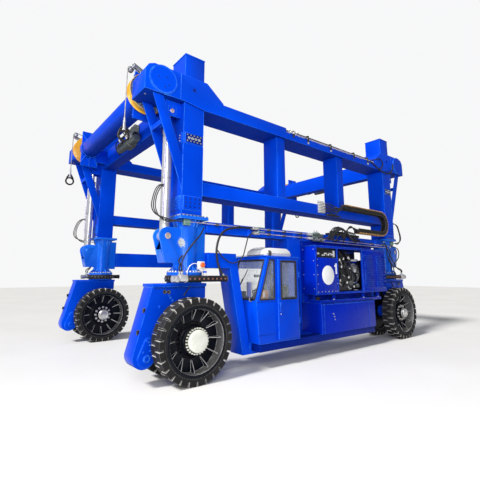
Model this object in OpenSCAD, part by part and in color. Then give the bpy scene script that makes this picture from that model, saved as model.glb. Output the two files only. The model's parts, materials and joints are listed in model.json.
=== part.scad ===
// Rubber tyred gantry crane: two wheeled sides, four lifting columns and an
// upper frame with two rope drums. X is the travel direction, Z is up, and the
// origin lies on the ground under the middle of the crane.

/* [Layout] */
// Distance between the steering axes along the travel direction
wheelbase = 6580; // [6000:10:8000]
// Distance between the two rows of wheels
track = 4660; // [4200:10:6500]
// How far the upper frame rises
lift_travel = 1500; // [300:10:1500]

/* [Wheels] */
// Outer radius of a tyre
tyre_r = 670; // [620:5:680]
// Width of a tyre
tyre_w = 280; // [240:5:300]
// Distance between the two tyres of a pair
twin_pitch = 720; // [700:5:760]
// Number of tread lugs round each shoulder
lug_count = 26; // [18:1:32]
// Depth of the tread
lug_h = 34; // [20:1:45]
// Radius of the rim under the tyre
rim_r = 520; // [480:5:540]
// Number of gusset ribs in a rim
rim_ribs = 12; // [8:1:16]
// Radius of the turning axle
axle_r = 95; // [80:1:110]

/* [Fork] */
// Width of the fork over its cheeks
fork_w = 340; // [300:2:360]
// Thickness of a cheek plate
cheek_t = 40; // [25:1:50]
// Height of the top of the fork
fork_top = 1560; // [1540:5:1600]
// Distance of the arm pin from the steering axis
pin_reach = 717; // [700:1:740]
// Height of the arm pin
pin_z = 455; // [430:1:480]
// Radius of the kingpin
kingpin_r = 110; // [90:1:120]

/* [Post] */
// Radius of the round post
post_r = 200; // [180:1:220]
// Height of the seat that a column rests on
post_top = 2700; // [2650:5:2750]
// Thickness of the flanges of a post
flange_t = 55; // [40:1:70]
// Distance of a lift cylinder from the steering axis
ram_reach = 410; // [395:1:430]
// Radius of a lift cylinder barrel
barrel_r = 85; // [78:1:95]
// Radius of a lift ram
ram_r = 60; // [50:1:65]

/* [Upper frame] */
// Column size along the travel direction
column_x = 410; // [380:2:430]
// Column size across the travel direction
column_y = 490; // [450:2:520]
// Wall thickness of a column
column_wall = 12; // [8:1:20]
// Height of the top of a column
column_top = 5730; // [5650:5:5900]
// Height of the underside of the middle of a top beam
beam_z = 4700; // [4650:5:4740]
// Depth of the middle of a top beam
beam_h = 250; // [200:5:300]
// Height of the top of a beam head
head_top = 5270; // [5230:5:5320]
// Reach of a beam head past the drum axis
head_out = 330; // [310:5:360]
// Width of a top beam
beam_w = 560; // [540:5:600]
// Height of the underside of a low beam
low_beam_z = 3095; // [3050:5:3120]
// Depth of a low beam
low_beam_h = 250; // [220:5:300]
// Distance of an intermediate post from the middle
mid_post_x = 1070; // [900:10:1300]

/* [Hoist] */
// Distance of a drum axis from the steering axis
drum_reach = 670; // [660:1:680]
// Height of the drum axes
drum_z = 5020; // [5000:1:5040]
// Radius of a drum tube
tube_r = 225; // [200:1:232]
// Radius of a reel flange
reel_r = 370; // [350:1:375]
// Width of a reel
reel_w = 180; // [150:1:190]

/* [Cab] */
// Length of the cab at its roof
cab_roof_l = 875; // [800:5:900]
// Depth of the cab across the crane
cab_d = 905; // [850:5:950]
// Height of the cab roof
cab_top = 2060; // [2000:5:2100]
// Wall thickness of the cab
cab_wall = 40; // [25:1:50]
// Thickness of the door
door_t = 35; // [25:1:38]

/* [Power pack] */
// Length of the power pack housing
pack_l = 2830; // [2780:5:2860]
// Height of the power pack housing
pack_h = 1060; // [1000:5:1100]
// Sheet thickness of the housing panels
panel_t = 20; // [10:1:30]
// Number of louvre blades on each side panel
louvres = 18; // [12:1:22]

/* [Hidden] */
$fn = 64;

blue = "royalblue";
bright_blue = "dodgerblue";
dark_blue = "midnightblue";

// Gaps: a seat at rest, a running fit, and the gap of moving pieces
seat_gap = 0.3;
run_gap = 0.05;
clear_gap = 5;

post_x = wheelbase / 2;
side_y = track / 2;
drum_x = post_x + drum_reach;
head_reach = drum_x + head_out;

// Tread
lug_pitch = 360 / lug_count;
lug_half = 0.41 * lug_pitch;
axle_z = tyre_r * cos(lug_pitch / 2 - lug_half);
tread_r = tyre_r - lug_h;
lug_root_r = tread_r - 40;
sidewall_set = 8;
shoulder = 32;

// Rim, with its disc set back from the outer face
barrel_wall = 22;
rim_lip = 20;
disc_set = 200;
disc_t = 18;
hub_flange_r = 212;
cap_r = 175;
nose_r = 120;
cap_out = 30;

// Fork
top_plate_t = 50;
top_plate_lip = 20;
top_plate_in = 340;
top_plate_out = 660;
lobe_r = 185;
lobe_shift = 28;
front_wall = 32;
boss_r = 170;
boss_half = fork_w / 2 + 30;
turntable_r = 300;
turntable_t = 20;

// Slewing drive between the fork and the post
drive_z0 = fork_top + turntable_t + clear_gap;
drive_z1 = drive_z0 + 105;
drive_r = 330;
worm_r = 52;
worm_y = drive_r + 30;
kingpin_top = drive_z1 + 10;

// Post
flange_r = 305;
post_z0 = drive_z1;
seat_x0 = -260;
seat_x1 = 300;
seat_y = 285;
box_x1 = 350;
box_y = 100;
ram_pin_z = 2347;
ram_top_z = 4575;
bracket_y = 105;
bracket_t = 25;

// Columns and masts, about the post's axis
column_cx = -25;
column_z0 = post_top + seat_gap;
mast_gap = 10;
mast_wall = 14;
mast_cap = 20;
mast_top = post_top + 2400;
column_in_x = post_x - column_cx - column_x / 2;
band_t = 15;

head_bottom = beam_z + 60;
head_in = post_x - 230;
haunch_in = post_x - 610;
haunch_top = beam_z + beam_h + 20;
beam_step = 90;
brace_y = [210, 230];
brace_foot_z = [3160, 3710];
brace_tie_z = [4250, 4350];
girder_x0 = post_x + 210;
girder_w = 300;
girder_z0 = 4620;
girder_z1 = 5100;
beam_back = side_y - beam_w / 2;
mid_post_w = 250;
frame_half = 215;

// Hoist
bracket_plate_y = beam_back - 15 - reel_w - 30;
bracket_plate_t = 40;
shaft_r = 60;
shaft_in = 220;
rope_r = 10;
roller_x = drum_x + reel_r - 30;
roller_z = drum_z + 380;
roller_r = 50;
roller_axle_r = 16;
roller_foot = [roller_x - 170, roller_x - 280];
rope_run_r = roller_r + rope_r + seat_gap;
rope_x = roller_x + rope_run_r;
rope_y = beam_back - 15 - reel_w / 2;
socket_z = 4000;
eye_r = 72;
eye_ring_r = 110;
eye_t = 32;
rope_seat = 332;
rope_bends = 8;
rope_sides = 10;
groove_d = 45;
winch_plate_t = 30;
winch_y = [-480, 300];
winch_flat = [-240, -20];
winch_motor_r = 85;

// Near side frame: the leg leans outwards with height
leg_lean = 0.19;
leg_w = 185;
leg_bottom = 250;
leg_foot_x = 1959;
rail_z0 = 2450;
rail_z1 = 2650;
rail_y = 150;
rail_post_x = [-850, -460];
sill_z0 = 1910;
sill_z1 = 2290;
stub_z0 = 1820;
stub_z1 = 2090;
frame_y0 = -200;
frame_y1 = 180;
bottom_h = 200;
deck_z = leg_bottom + bottom_h;

// Cab
cab_y0 = -455;
cab_rear = -870;
cab_sill_z = 1200;
cab_sill_x = -2030;
cab_foot_x = -1960;
cab_roof_x = cab_rear - cab_roof_l;
glass_t = 8;
floor_t = 60;
air_unit_y = [60, 660];
air_unit = [[0, 0], [-20, 45], [15, 120], [90, 165], [560, 165], [650, 120], [690, 45], [670, 0]];
seat_base_x = [-1500, -1180];
seat_base_y = [-260, 120];
cushion_x = [-1560, -1110];
cushion_y = [-310, 170];
cushion_z0 = deck_z + 260;
cushion_t = 120;
seat_back_y = [-290, 150];
seat_back = [[-1180, 0], [-1110, 0], [-1000, 640], [-1080, 660]];
console_y = [-380, 370];
console = [[-1910, 0], [-1965, 700], [-1850, 730], [-1800, 660], [-1860, 0]];
mirror_z = [1290, 1570];
mirror_arm_r = 10;
window_z0 = cab_sill_z + 40;
window_z1 = cab_top - 75;
door_x0 = -1500;
door_x1 = -925;
door_z0 = 500;
door_z1 = 2000;
door_y1 = cab_y0 - clear_gap;
hinge_x = door_x1 + 22;
hinge_y = door_y1 - door_t / 2;
hinge_pin_r = 8;
hinge_r = 16;
hinge_heights = [800, 1700];
knuckle_h = 60;

// Power pack
pack_x0 = -350;
pack_x1 = pack_x0 + pack_l;
pack_z0 = 1270;
pack_z1 = pack_z0 + pack_h;
pack_y0 = -480;
pack_y1 = -80;
pack_notch_x = 2080;
pack_notch_y = frame_y0 - 10;
bay_x0 = 417;
bay_x1 = 1440;
strip_z = pack_z0 + 800;
shelf_z0 = 1080;
shelf_z1 = 1150;
shelf_x = [2090, 2230];
front_feet_x = [330, 1500, 2150];
back_feet_x = [-100, 330, 1500, 2000];
foot_r = [62, 40];
tank_x0 = -200;
tank_x1 = 1870;

// Energy chain
chain_z = 3355;
chain_r = 290;
chain_h = 90;
chain_x0 = 920;
chain_xb = 2545;
chain_x1 = 1420;
chain_y0 = -440;
chain_y1 = -300;
link_l = 100;

// Puts a piece at a corner: sx and sy are -1 or 1, and the piece is drawn for
// the near left corner, with -X outwards and -Y to the outer side
module corner(sx, sy) {
    translate([sx * post_x, sy * side_y, 0])
        mirror([sx > 0 ? 1 : 0, 0, 0])
            mirror([0, sy > 0 ? 1 : 0, 0])
                children();
}

module all_corners() {
    for (sx = [-1, 1], sy = [-1, 1]) corner(sx, sy) children();
}

module ends() {
    children();
    mirror([1, 0, 0]) children();
}

module sides() {
    children();
    mirror([0, 1, 0]) children();
}

// Box from its lowest and highest corners
module block(lo, hi) {
    translate(lo) cube(hi - lo);
}

// Extrudes an outline drawn in X and Z from y0 to y1
module slab(y0, y1) {
    translate([0, y1, 0]) rotate([90, 0, 0]) linear_extrude(height = y1 - y0) children();
}

// Cylinder along Y from y0 to y1
module y_rod(x, z, r, y0, y1) {
    translate([x, y1, z]) rotate([90, 0, 0]) cylinder(r = r, h = y1 - y0);
}

function arc(centre, r, from, to, steps = 20) = [
    for (k = [0 : steps])
        let (a = from + (to - from) * k / steps) centre + r * [cos(a), sin(a)]
];

// Outline of two round ends joined by their tangents
module link_outline(a, ra, b, rb) {
    turn = atan2(b[1] - a[1], b[0] - a[0]);
    lean = acos((ra - rb) / norm(b - a));
    polygon(concat(arc(a, ra, turn + lean, turn + 360 - lean), arc(b, rb, turn - lean, turn + lean)));
}

// Tyre with staggered lugs on both shoulders, about the Z axis
function lug_points(turn) = [
    for (k = [0 : lug_count - 1])
        for (p = [[tyre_r, -lug_half], [tyre_r, lug_half],
                  [lug_root_r, lug_half + 0.4], [lug_root_r, lug_pitch - lug_half - 0.4]])
            let (a = turn + k * lug_pitch + p[1]) p[0] * [cos(a), sin(a)]
];

module lug_layer(turn) {
    linear_extrude(height = tyre_w / 2 + 12)
        difference() {
            polygon(lug_points(turn));
            circle(r = rim_r + rim_lip + 18);
        }
}

module tyre() {
    half = tyre_w / 2 - sidewall_set;
    rotate_extrude()
        polygon([[rim_r, -half], [tread_r - shoulder, -half], [tread_r, shoulder - half],
                 [tread_r, half - shoulder], [tread_r - shoulder, half], [rim_r, half]]);
    translate([0, 0, -tyre_w / 2]) lug_layer(-90);
    translate([0, 0, -12]) lug_layer(-90 + lug_pitch / 2);
}

// Rim about the Z axis, with its open face towards +Z. A capped hub is wide
// and flat, and the others end in the narrower nose of a planetary gear
module rim(capped) {
    half = tyre_w / 2 - sidewall_set;
    disc_z = tyre_w / 2 - disc_set;
    bore = rim_r - barrel_wall;
    end_r = capped ? cap_r : nose_r;
    rotate_extrude() {
        polygon([[bore, -half], [rim_r, -half], [rim_r, half], [rim_r + rim_lip, half],
                 [rim_r + rim_lip, half + 12], [bore - 6, half + 12], [bore, half - 10]]);
        polygon([[0, disc_z - disc_t], [bore + 5, disc_z - disc_t], [bore + 5, disc_z],
                 [hub_flange_r + 60, disc_z], [hub_flange_r, disc_z + 40],
                 [hub_flange_r, disc_z + 90], [cap_r - 25, disc_z + 90],
                 [end_r - 5, tyre_w / 2 - 30], [end_r, tyre_w / 2 - 30],
                 [end_r, tyre_w / 2 + cap_out - 12], [end_r - 12, tyre_w / 2 + cap_out],
                 [0, tyre_w / 2 + cap_out]]);
    }
    for (k = [0 : rim_ribs - 1])
        rotate([0, 0, k * 360 / rim_ribs])
            translate([0, 6, 0]) rotate([90, 0, 0])
                linear_extrude(height = 12)
                    polygon([[bore + 5, disc_z - 2], [bore + 5, disc_z + 110],
                             [bore - 30, disc_z + 110], [bore - 190, disc_z + 12],
                             [bore - 190, disc_z - 2]]);
}

// Both wheels of a corner, with the axle between their discs
module twin(y_sign) {
    translate([0, y_sign * twin_pitch / 2, axle_z])
        rotate([y_sign * -90, 0, 0]) children();
}

module rim_pair(capped = false) {
    color("black") {
        twin(-1) rim(capped);
        twin(1) rim(false);
        y_rod(0, axle_z, axle_r, -twin_pitch / 2 - 100, twin_pitch / 2 + 100);
    }
}

module tyre_pair() {
    color("darkslategray") {
        twin(-1) rotate([0, 0, 180]) tyre();
        twin(1) tyre();
    }
}

// Fork: a hollow leg with rounded foot, its arm, the top plate and the kingpin
module fork() {
    half = fork_w / 2;
    lobe = [-pin_reach - lobe_shift, pin_z + 25];
    under = fork_top - top_plate_t;
    knee = [-pin_reach - 143, 750];
    color(bright_blue) {
        difference() {
            slab(-half, half)
                polygon(concat([[-top_plate_out, under], [top_plate_in - 10, under],
                                [top_plate_in - 10, under - 200], [0, under - 280], [-450, 900]],
                               arc(lobe, lobe_r, 8, -186), [knee]));
            slab(cheek_t - half, half - cheek_t)
                polygon(concat([[front_wall - top_plate_out, under - 30], [top_plate_in - 40, under - 30],
                                [top_plate_in - 40, 400], lobe + [lobe_r + 60, -170],
                                lobe + [0, front_wall - lobe_r - 60]],
                               arc(lobe, lobe_r - front_wall, 270, 174), [knee + [front_wall, 0]]));
        }
        // Outer covers over the arm pin
        for (s = [-1, 1])
            slab(s > 0 ? half : -half - 16, s > 0 ? half + 16 : -half)
                link_outline([-pin_reach, pin_z], 135, [-pin_reach + 22, pin_z + 235], 62);
        y_rod(-pin_reach, pin_z, 50, -half - 30, half + 30);
        difference() {
            union() {
                slab(cheek_t + 10 - half, half - cheek_t - 10)
                    link_outline([-pin_reach, pin_z], 120, [0, axle_z], 150);
                y_rod(0, axle_z, boss_r, -boss_half, boss_half);
            }
            y_rod(0, axle_z, axle_r + run_gap, -boss_half - 1, boss_half + 1);
        }
        block([-top_plate_out - 10, -half - top_plate_lip, under],
              [top_plate_in, half + top_plate_lip, fork_top]);
        translate([0, 0, fork_top]) cylinder(r = turntable_r, h = turntable_t);
        translate([0, 0, fork_top]) cylinder(r = kingpin_r, h = kingpin_top - fork_top);
    }
}

// Slewing drive: a flat ring housing with a worm housing beside it
module slew_drive() {
    color("dimgray")
        difference() {
            union() {
                translate([0, 0, drive_z0]) cylinder(r = drive_r, h = drive_z1 - drive_z0);
                translate([-160, -worm_y, drive_z0 + worm_r]) rotate([0, 90, 0])
                    cylinder(r = worm_r, h = 780);
                block([-160, -worm_y, drive_z0 + 6], [160, -drive_r + 120, drive_z0 + 96]);
            }
            translate([0, 0, drive_z0 - 1]) cylinder(r = kingpin_r + run_gap, h = drive_z1 - drive_z0 + 2);
        }
}

module steer_motor() {
    color("silver")
        translate([-160, -worm_y, drive_z0 + worm_r]) rotate([0, -90, 0]) {
            cylinder(r = 62, h = 30);
            translate([0, 0, 30]) cylinder(r = 46, h = 140);
            translate([0, 0, 170]) cylinder(r = 54, h = 90);
            translate([0, -28, 60]) cube([75, 56, 90]);
        }
}

// Post with its flanges, gussets, side box and cylinder bracket
module post() {
    color(blue) {
        difference() {
            translate([0, 0, post_z0]) cylinder(r = flange_r, h = flange_t);
            translate([0, 0, post_z0 - 1]) cylinder(r = kingpin_r + run_gap, h = kingpin_top - post_z0 + 6);
        }
        translate([0, 0, post_z0 + flange_t]) cylinder(r = post_r, h = post_top - post_z0 - 2 * flange_t);
        block([seat_x0, -seat_y, post_top - flange_t], [seat_x1, seat_y, post_top]);
        block([0, -box_y, 1850], [box_x1, box_y, post_top - 100]);
        for (k = [0 : 11])
            rotate([0, 0, 15 + k * 30]) {
                slab(-8, 8)
                    polygon([[post_r - 6, post_z0 + flange_t - 2], [flange_r - 8, post_z0 + flange_t - 2],
                             [flange_r - 8, post_z0 + flange_t + 8], [post_r - 6, post_z0 + flange_t + 110]]);
                slab(-8, 8)
                    polygon([[post_r - 6, post_top - flange_t + 2], [flange_r - 55, post_top - flange_t + 2],
                             [flange_r - 55, post_top - flange_t - 10], [post_r - 6, post_top - flange_t - 150]]);
            }
        difference() {
            for (s = [-1, 1])
                slab(s > 0 ? bracket_y : -bracket_y - bracket_t, s > 0 ? bracket_y + bracket_t : -bracket_y) {
                    translate([-ram_reach, ram_pin_z]) circle(r = 150);
                    polygon([[0, ram_pin_z + 150], [-ram_reach, ram_pin_z + 150],
                             [-ram_reach - 149, ram_pin_z - 10], [-ram_reach - 35, 1900], [0, 1900]]);
                }
            translate([0, 0, 1800]) cylinder(r = post_r - 1, h = 800);
        }
        slab(-bracket_y, bracket_y)
            polygon([[-ram_reach - 90, 2120], [-ram_reach - 35, 1900], [-ram_reach - 10, 1900],
                     [-ram_reach - 65, 2120]]);
        y_rod(-ram_reach, ram_pin_z, 45, -bracket_y - bracket_t - 12, bracket_y + bracket_t + 12);
    }
}

// Closed tube about the post's axis that slides inside the column
module inner_mast() {
    out_x = column_x / 2 - column_wall - mast_gap;
    out_y = column_y / 2 - column_wall - mast_gap;
    color(blue)
        translate([column_cx, 0, 0])
            difference() {
                block([-out_x, -out_y, post_top], [out_x, out_y, mast_top]);
                block([mast_wall - out_x, mast_wall - out_y, post_top - 1],
                      [out_x - mast_wall, out_y - mast_wall, mast_top - mast_cap]);
            }
}

module lift_barrel() {
    color("silver")
        difference() {
            union() {
                y_rod(-ram_reach, ram_pin_z, 92, -bracket_y + 1, bracket_y - 1);
                translate([-ram_reach, 0, ram_pin_z]) cylinder(r = barrel_r, h = ram_top_z - 325 - ram_pin_z);
                translate([-ram_reach, 0, ram_top_z - 405]) cylinder(r = barrel_r + 9, h = 80);
            }
            translate([-ram_reach, 0, ram_pin_z + 130]) cylinder(r = ram_r + run_gap, h = ram_top_z);
            y_rod(-ram_reach, ram_pin_z, 45 + run_gap, -bracket_y, bracket_y);
        }
}

module lift_ram() {
    color("gainsboro")
        difference() {
            union() {
                translate([-ram_reach, 0, ram_top_z - lift_travel - 425]) cylinder(r = ram_r, h = lift_travel + 425);
                y_rod(-ram_reach, ram_top_z, 75, -95, 95);
            }
            y_rod(-ram_reach, ram_top_z, 35 + run_gap, -96, 96);
        }
}

// Column of the upper frame: a closed box that slips over the mast
module column() {
    hx = column_x / 2;
    hy = column_y / 2;
    color(blue)
        translate([column_cx, 0, 0]) {
            difference() {
                block([-hx, -hy, column_z0], [hx, hy, column_top]);
                block([column_wall - hx, column_wall - hy, column_z0 - 1],
                      [hx - column_wall, hy - column_wall, column_top - 30]);
            }
            for (z = [[column_z0 + 100, column_z0 + 350], [4000, 4200]]) {
                block([25 - hx, -hy - band_t, z[0]], [hx - 25, -hy, z[1]]);
                block([-hx - band_t, 45 - hy, z[0]], [-hx, hy - 45, z[1]]);
            }
        }
}

// Top beam in X and Z: deep heads over the columns and a slim middle, which is
// slimmer still beyond the left intermediate post
module beam_outline() {
    step_x = mid_post_w / 2 - mid_post_x;
    half = [
        [haunch_in, haunch_top], [head_in, head_top],
        [head_reach - 160, head_top], [head_reach - 60, head_top - 45], [head_reach, head_top - 150],
        [head_reach, head_bottom], [column_in_x + column_x, head_bottom], [column_in_x, beam_z]
    ];
    polygon(concat([[haunch_in + 60, beam_z + beam_h - beam_step]], half,
                   [for (k = [len(half) - 1 : -1 : 0]) [-half[k][0], half[k][1]]],
                   [[-haunch_in, beam_z + beam_h], [step_x, beam_z + beam_h],
                    [step_x, beam_z + beam_h - beam_step]]));
}

module top_beam() {
    color(blue) {
        difference() {
            slab(-beam_w / 2, beam_w / 2) beam_outline();
            ends()
                translate([-post_x, 0, 0])
                    block([column_cx - column_x / 2, -column_y / 2, beam_z - 1],
                          [column_cx + column_x / 2, column_y / 2, head_top + 1]);
            ends() y_rod(-drum_x, drum_z, shaft_r + run_gap, beam_w / 2 - shaft_in - 5, beam_w / 2 + 1);
        }
        // Round bearing covers on the outer side
        ends() y_rod(-drum_x, drum_z, 260, -beam_w / 2 - 12, -beam_w / 2);
        // Ears that hold the top of each lift ram
        ends()
            translate([-post_x, 0, 0]) {
                for (s = [-1, 1])
                    block([-ram_reach - 130, s > 0 ? 105 : -130, ram_top_z - 95],
                          [column_cx - column_x / 2, s > 0 ? 130 : -105, head_bottom]);
                y_rod(-ram_reach, ram_top_z, 35, -140, 140);
            }
    }
}

module low_beam() {
    color(blue) block([-column_in_x, -frame_half, low_beam_z], [column_in_x, frame_half, low_beam_z + low_beam_h]);
}

module mid_post() {
    color(blue)
        block([-mid_post_x - mid_post_w / 2, -frame_half, low_beam_z + low_beam_h],
              [-mid_post_x + mid_post_w / 2, frame_half, beam_z]);
}

module cross_girder() {
    color(blue) block([-girder_x0, -beam_back, girder_z0], [girder_w - girder_x0, beam_back, girder_z1]);
}

// Two flat struts and their tie, from the head down to the column
module head_brace() {
    face = column_cx - column_x / 2;
    color(blue) {
        for (s = [-1, 1])
            slab(s > 0 ? brace_y[0] : -brace_y[1], s > 0 ? brace_y[1] : -brace_y[0])
                polygon([[face - 600, head_bottom], [face - 400, head_bottom], [face, brace_foot_z[1]],
                         [face, brace_foot_z[0]]]);
        block([face - 410, -brace_y[0], brace_tie_z[0]], [face - 385, brace_y[0], brace_tie_z[1]]);
    }
}

// Drum tube with the stub shafts that turn in the beam heads
module drum_tube() {
    color(blue) {
        y_rod(-drum_x, drum_z, tube_r, -bracket_plate_y - 20, bracket_plate_y + 20);
        sides() y_rod(-drum_x, drum_z, shaft_r, bracket_plate_y + 19, beam_back + shaft_in);
    }
}

// Narrow rope reel: a grooved drum between two flanges, ribbed on its outer side
module reel() {
    out = beam_back - 15;
    hub = shaft_r;
    color("gold") {
        translate([-drum_x, 0, drum_z]) rotate([90, 0, 0]) {
            translate([0, 0, -out])
                rotate_extrude()
                    polygon([[hub, 0], [hub + 60, 0], [hub + 60, 30], [reel_r - 12, 30], [reel_r - 12, 0],
                             [reel_r, 0], [reel_r, 45], [reel_r - groove_d, 55], [reel_r - groove_d, reel_w - 37],
                             [reel_r, reel_w - 27], [reel_r, reel_w - 12], [tube_r + 20, reel_w - 12],
                             [tube_r, reel_w - 12], [hub, reel_w - 12]]);
            for (k = [0 : 11])
                rotate([0, 0, k * 30])
                    translate([hub + 55, -6, -out]) cube([reel_r - hub - 62, 12, 32]);
        }
    }
}

// Plate with fan ribs round the end of the drum tube, held by the cross girder
module drum_bracket() {
    y0 = bracket_plate_y - bracket_plate_t;
    bore = tube_r + clear_gap + 1;
    color(blue)
        difference() {
            union() {
                block([-drum_x - 210, y0, drum_z - 475], [210 - drum_x, bracket_plate_y, drum_z + 475]);
                block([-drum_x, y0, girder_z0 + 80], [-girder_x0, bracket_plate_y, girder_z1 - 40]);
                y_rod(-drum_x, drum_z, bore + 14, y0 - 110, bracket_plate_y);
                for (up = [0, 180], a = [-28, 0, 28])
                    translate([-drum_x, 0, drum_z]) rotate([0, up + a, 0])
                        translate([-7, 0, 0])
                            rotate([90, 0, 90])
                                linear_extrude(height = 14)
                                    polygon([[y0 + 2, bore + 4], [y0 - 105, bore + 4], [y0 - 15, 462], [y0 + 2, 462]]);
            }
            y_rod(-drum_x, drum_z, bore, y0 - 111, bracket_plate_y + 1);
        }
}

// Gearbox on an eight-sided plate at the cross girder, with its motor below the
// drum tube
module winch_drive() {
    motor_x = -girder_x0 - winch_motor_r - 45;
    motor_z = drum_z - tube_r - winch_motor_r - 45;
    color("dimgray") {
        translate([-girder_x0 - winch_plate_t, 0, 0]) rotate([90, 0, 90])
            linear_extrude(height = winch_plate_t)
                polygon([[winch_y[0], girder_z0 + 60], [winch_y[0], girder_z1 - 60], [winch_flat[0], girder_z1 + 60],
                         [winch_flat[1], girder_z1 + 60], [winch_y[1], girder_z1 - 60], [winch_y[1], girder_z0 + 60],
                         [winch_flat[1], girder_z0 - 40], [winch_flat[0], girder_z0 - 40]]);
        y_rod(motor_x, motor_z, winch_motor_r + 25, winch_flat[0] - 100, winch_flat[0] + 100);
        y_rod(motor_x, motor_z, winch_motor_r, winch_y[0] - 180, winch_y[1] + 60);
        block([motor_x, winch_flat[0] - 100, motor_z - 60], [-girder_x0, winch_flat[0] + 100, motor_z + 170]);
    }
}

// Roller above a reel, on a bracket from the top of the head
module rope_roller() {
    foot = -roller_foot;
    color("dimgray") {
        for (x = [[0, 38], [10, 30]])
            y_rod(-roller_x, roller_z, roller_r - x[0] * 0.8, rope_y - x[1], rope_y + x[1]);
        y_rod(-roller_x, roller_z, roller_axle_r, rope_y - 48, beam_back + 92);
        for (y = [beam_back + 18, beam_back + 70])
            slab(y, y + 14) {
                translate([-roller_x, roller_z]) circle(r = 38);
                polygon([[foot[0], head_top], [-roller_x - 30, roller_z - 22], [-roller_x + 22, roller_z + 30],
                         [foot[1], head_top + 50], [foot[1], head_top]]);
            }
        block([foot[0], beam_back + 8, head_top], [foot[1] + 20, beam_back + 110, head_top + 12]);
    }
}

// Rope from the reel over its roller and down to the socket, as a tube with
// a ring of points at each station
module hoist_rope() {
    from_roller = [roller_x - drum_x, roller_z - drum_z];
    lay_r = reel_r - groove_d + rope_r + clear_gap + 1;
    slope = asin((lay_r - rope_run_r) / norm(from_roller));
    turn = 90 - atan2(from_roller[1], from_roller[0]) + slope;
    run = norm(from_roller) * cos(slope);
    roller = [-roller_x, roller_z];
    over = arc(roller, rope_run_r, 180, turn, rope_bends);
    route = concat([[-rope_x, socket_z + rope_seat]], over, [over[rope_bends] + run * [sin(turn), -cos(turn)]]);
    lean = concat([180], [for (k = [0 : rope_bends]) 180 - (180 - turn) * k / rope_bends], [turn]);
    last = len(route) - 1;
    color("dimgray")
        polyhedron(
            points = [for (i = [0 : last], k = [0 : rope_sides - 1])
                let (a = k * 360 / rope_sides, out = rope_r * cos(a))
                    [route[i][0] + out * cos(lean[i]), rope_y + rope_r * sin(a), route[i][1] + out * sin(lean[i])]],
            faces = concat([[for (k = [rope_sides - 1 : -1 : 0]) k]],
                           [[for (k = [0 : rope_sides - 1]) last * rope_sides + k]],
                           [for (i = [0 : last - 1], k = [0 : rope_sides - 1])
                               let (a = i * rope_sides, n = (k + 1) % rope_sides)
                                   [a + k, a + n, a + rope_sides + n, a + rope_sides + k]]));
}

// Spelter socket with the eye ring that takes the lifting gear
module rope_socket() {
    color("dimgray") {
        translate([-rope_x, rope_y, socket_z + 205])
            difference() {
                cylinder(r1 = 34, r2 = 20, h = 150);
                translate([0, 0, rope_seat - 205]) cylinder(r = rope_r, h = 150);
            }
        slab(rope_y - eye_t / 2, rope_y + eye_t / 2)
            difference() {
                translate([-rope_x, socket_z + eye_ring_r]) circle(r = eye_ring_r);
                translate([-rope_x, socket_z + eye_ring_r]) circle(r = eye_r);
            }
    }
}

// Cable carrier: one fixed loop of links with its brackets
module energy_chain() {
    mid = chain_z - chain_r;
    color("black")
        translate([0, -side_y, 0]) {
            slab(chain_y0, chain_y1)
                difference() {
                    union() {
                        translate([chain_x0, chain_z - chain_h / 2]) square([chain_xb - chain_x0, chain_h]);
                        translate([chain_x1, mid - chain_r - chain_h / 2]) square([chain_xb - chain_x1, chain_h]);
                        intersection() {
                            translate([chain_xb, mid])
                                difference() {
                                    circle(r = chain_r + chain_h / 2);
                                    circle(r = chain_r - chain_h / 2);
                                }
                            translate([chain_xb - 1, mid - 2 * chain_r]) square([2 * chain_r, 4 * chain_r]);
                        }
                    }
                    for (x = [chain_x0 + link_l : link_l : chain_xb - 1])
                        translate([x - 6, chain_z - chain_h / 2 - 1]) square([12, 13]);
                    for (x = [chain_x1 + link_l : link_l : chain_xb - 1])
                        translate([x - 6, mid - chain_r + chain_h / 2 - 12]) square([12, 13]);
                    for (a = [-80 : 16 : 80])
                        translate([chain_xb, mid]) rotate(a)
                            translate([chain_r - chain_h / 2 - 1, -6]) square([13, 12]);
                }
            for (x = [chain_x0 + 130, chain_x0 + 780, chain_xb - 160])
                block([x - 30, chain_y1 - 1, chain_z - chain_h / 2], [x + 30, -frame_half, low_beam_z + low_beam_h]);
        }
}

// Near side: stub, leaning leg and bottom beam, mirrored to the other end
module near_frame() {
    drop = leg_lean * (stub_z1 - leg_bottom);
    toe = leg_lean * (stub_z0 - leg_bottom);
    color(blue)
        translate([0, -side_y, 0]) {
            ends()
                slab(frame_y0, frame_y1)
                    polygon([[box_x1 - post_x, stub_z1], [-leg_foot_x - drop, stub_z1],
                             [-leg_foot_x, leg_bottom], [-leg_foot_x - leg_w, leg_bottom],
                             [-leg_foot_x - leg_w - toe, stub_z0], [box_x1 - post_x, stub_z0]]);
            block([-leg_foot_x - 20, frame_y0, leg_bottom], [leg_foot_x + 20, frame_y1, deck_z]);
        }
}

module near_rail() {
    color(blue)
        translate([0, -side_y, 0]) {
            block([box_x1 - post_x, -rail_y, rail_z0], [post_x - box_x1, rail_y, rail_z1]);
            for (x = [-2600 : 650 : 2600]) block([x - 25, -rail_y - 40, rail_z0 + 20], [x + 25, -rail_y, rail_z1 - 20]);
            block([rail_post_x[0], -rail_y, deck_z], [rail_post_x[1], rail_y, rail_z0]);
        }
}

module far_sill() {
    color(blue)
        translate([0, side_y, 0])
            block([box_x1 - post_x, -frame_y1, sill_z0], [post_x - box_x1, frame_y1, sill_z1]);
}

function cab_outline(w, base) = [
    [cab_foot_x + 1.09 * w, base], [cab_sill_x + 1.05 * w, cab_sill_z],
    [cab_roof_x + 0.75 * w, cab_top - w], [cab_rear - w, cab_top - w], [cab_rear - w, base]
];

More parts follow.
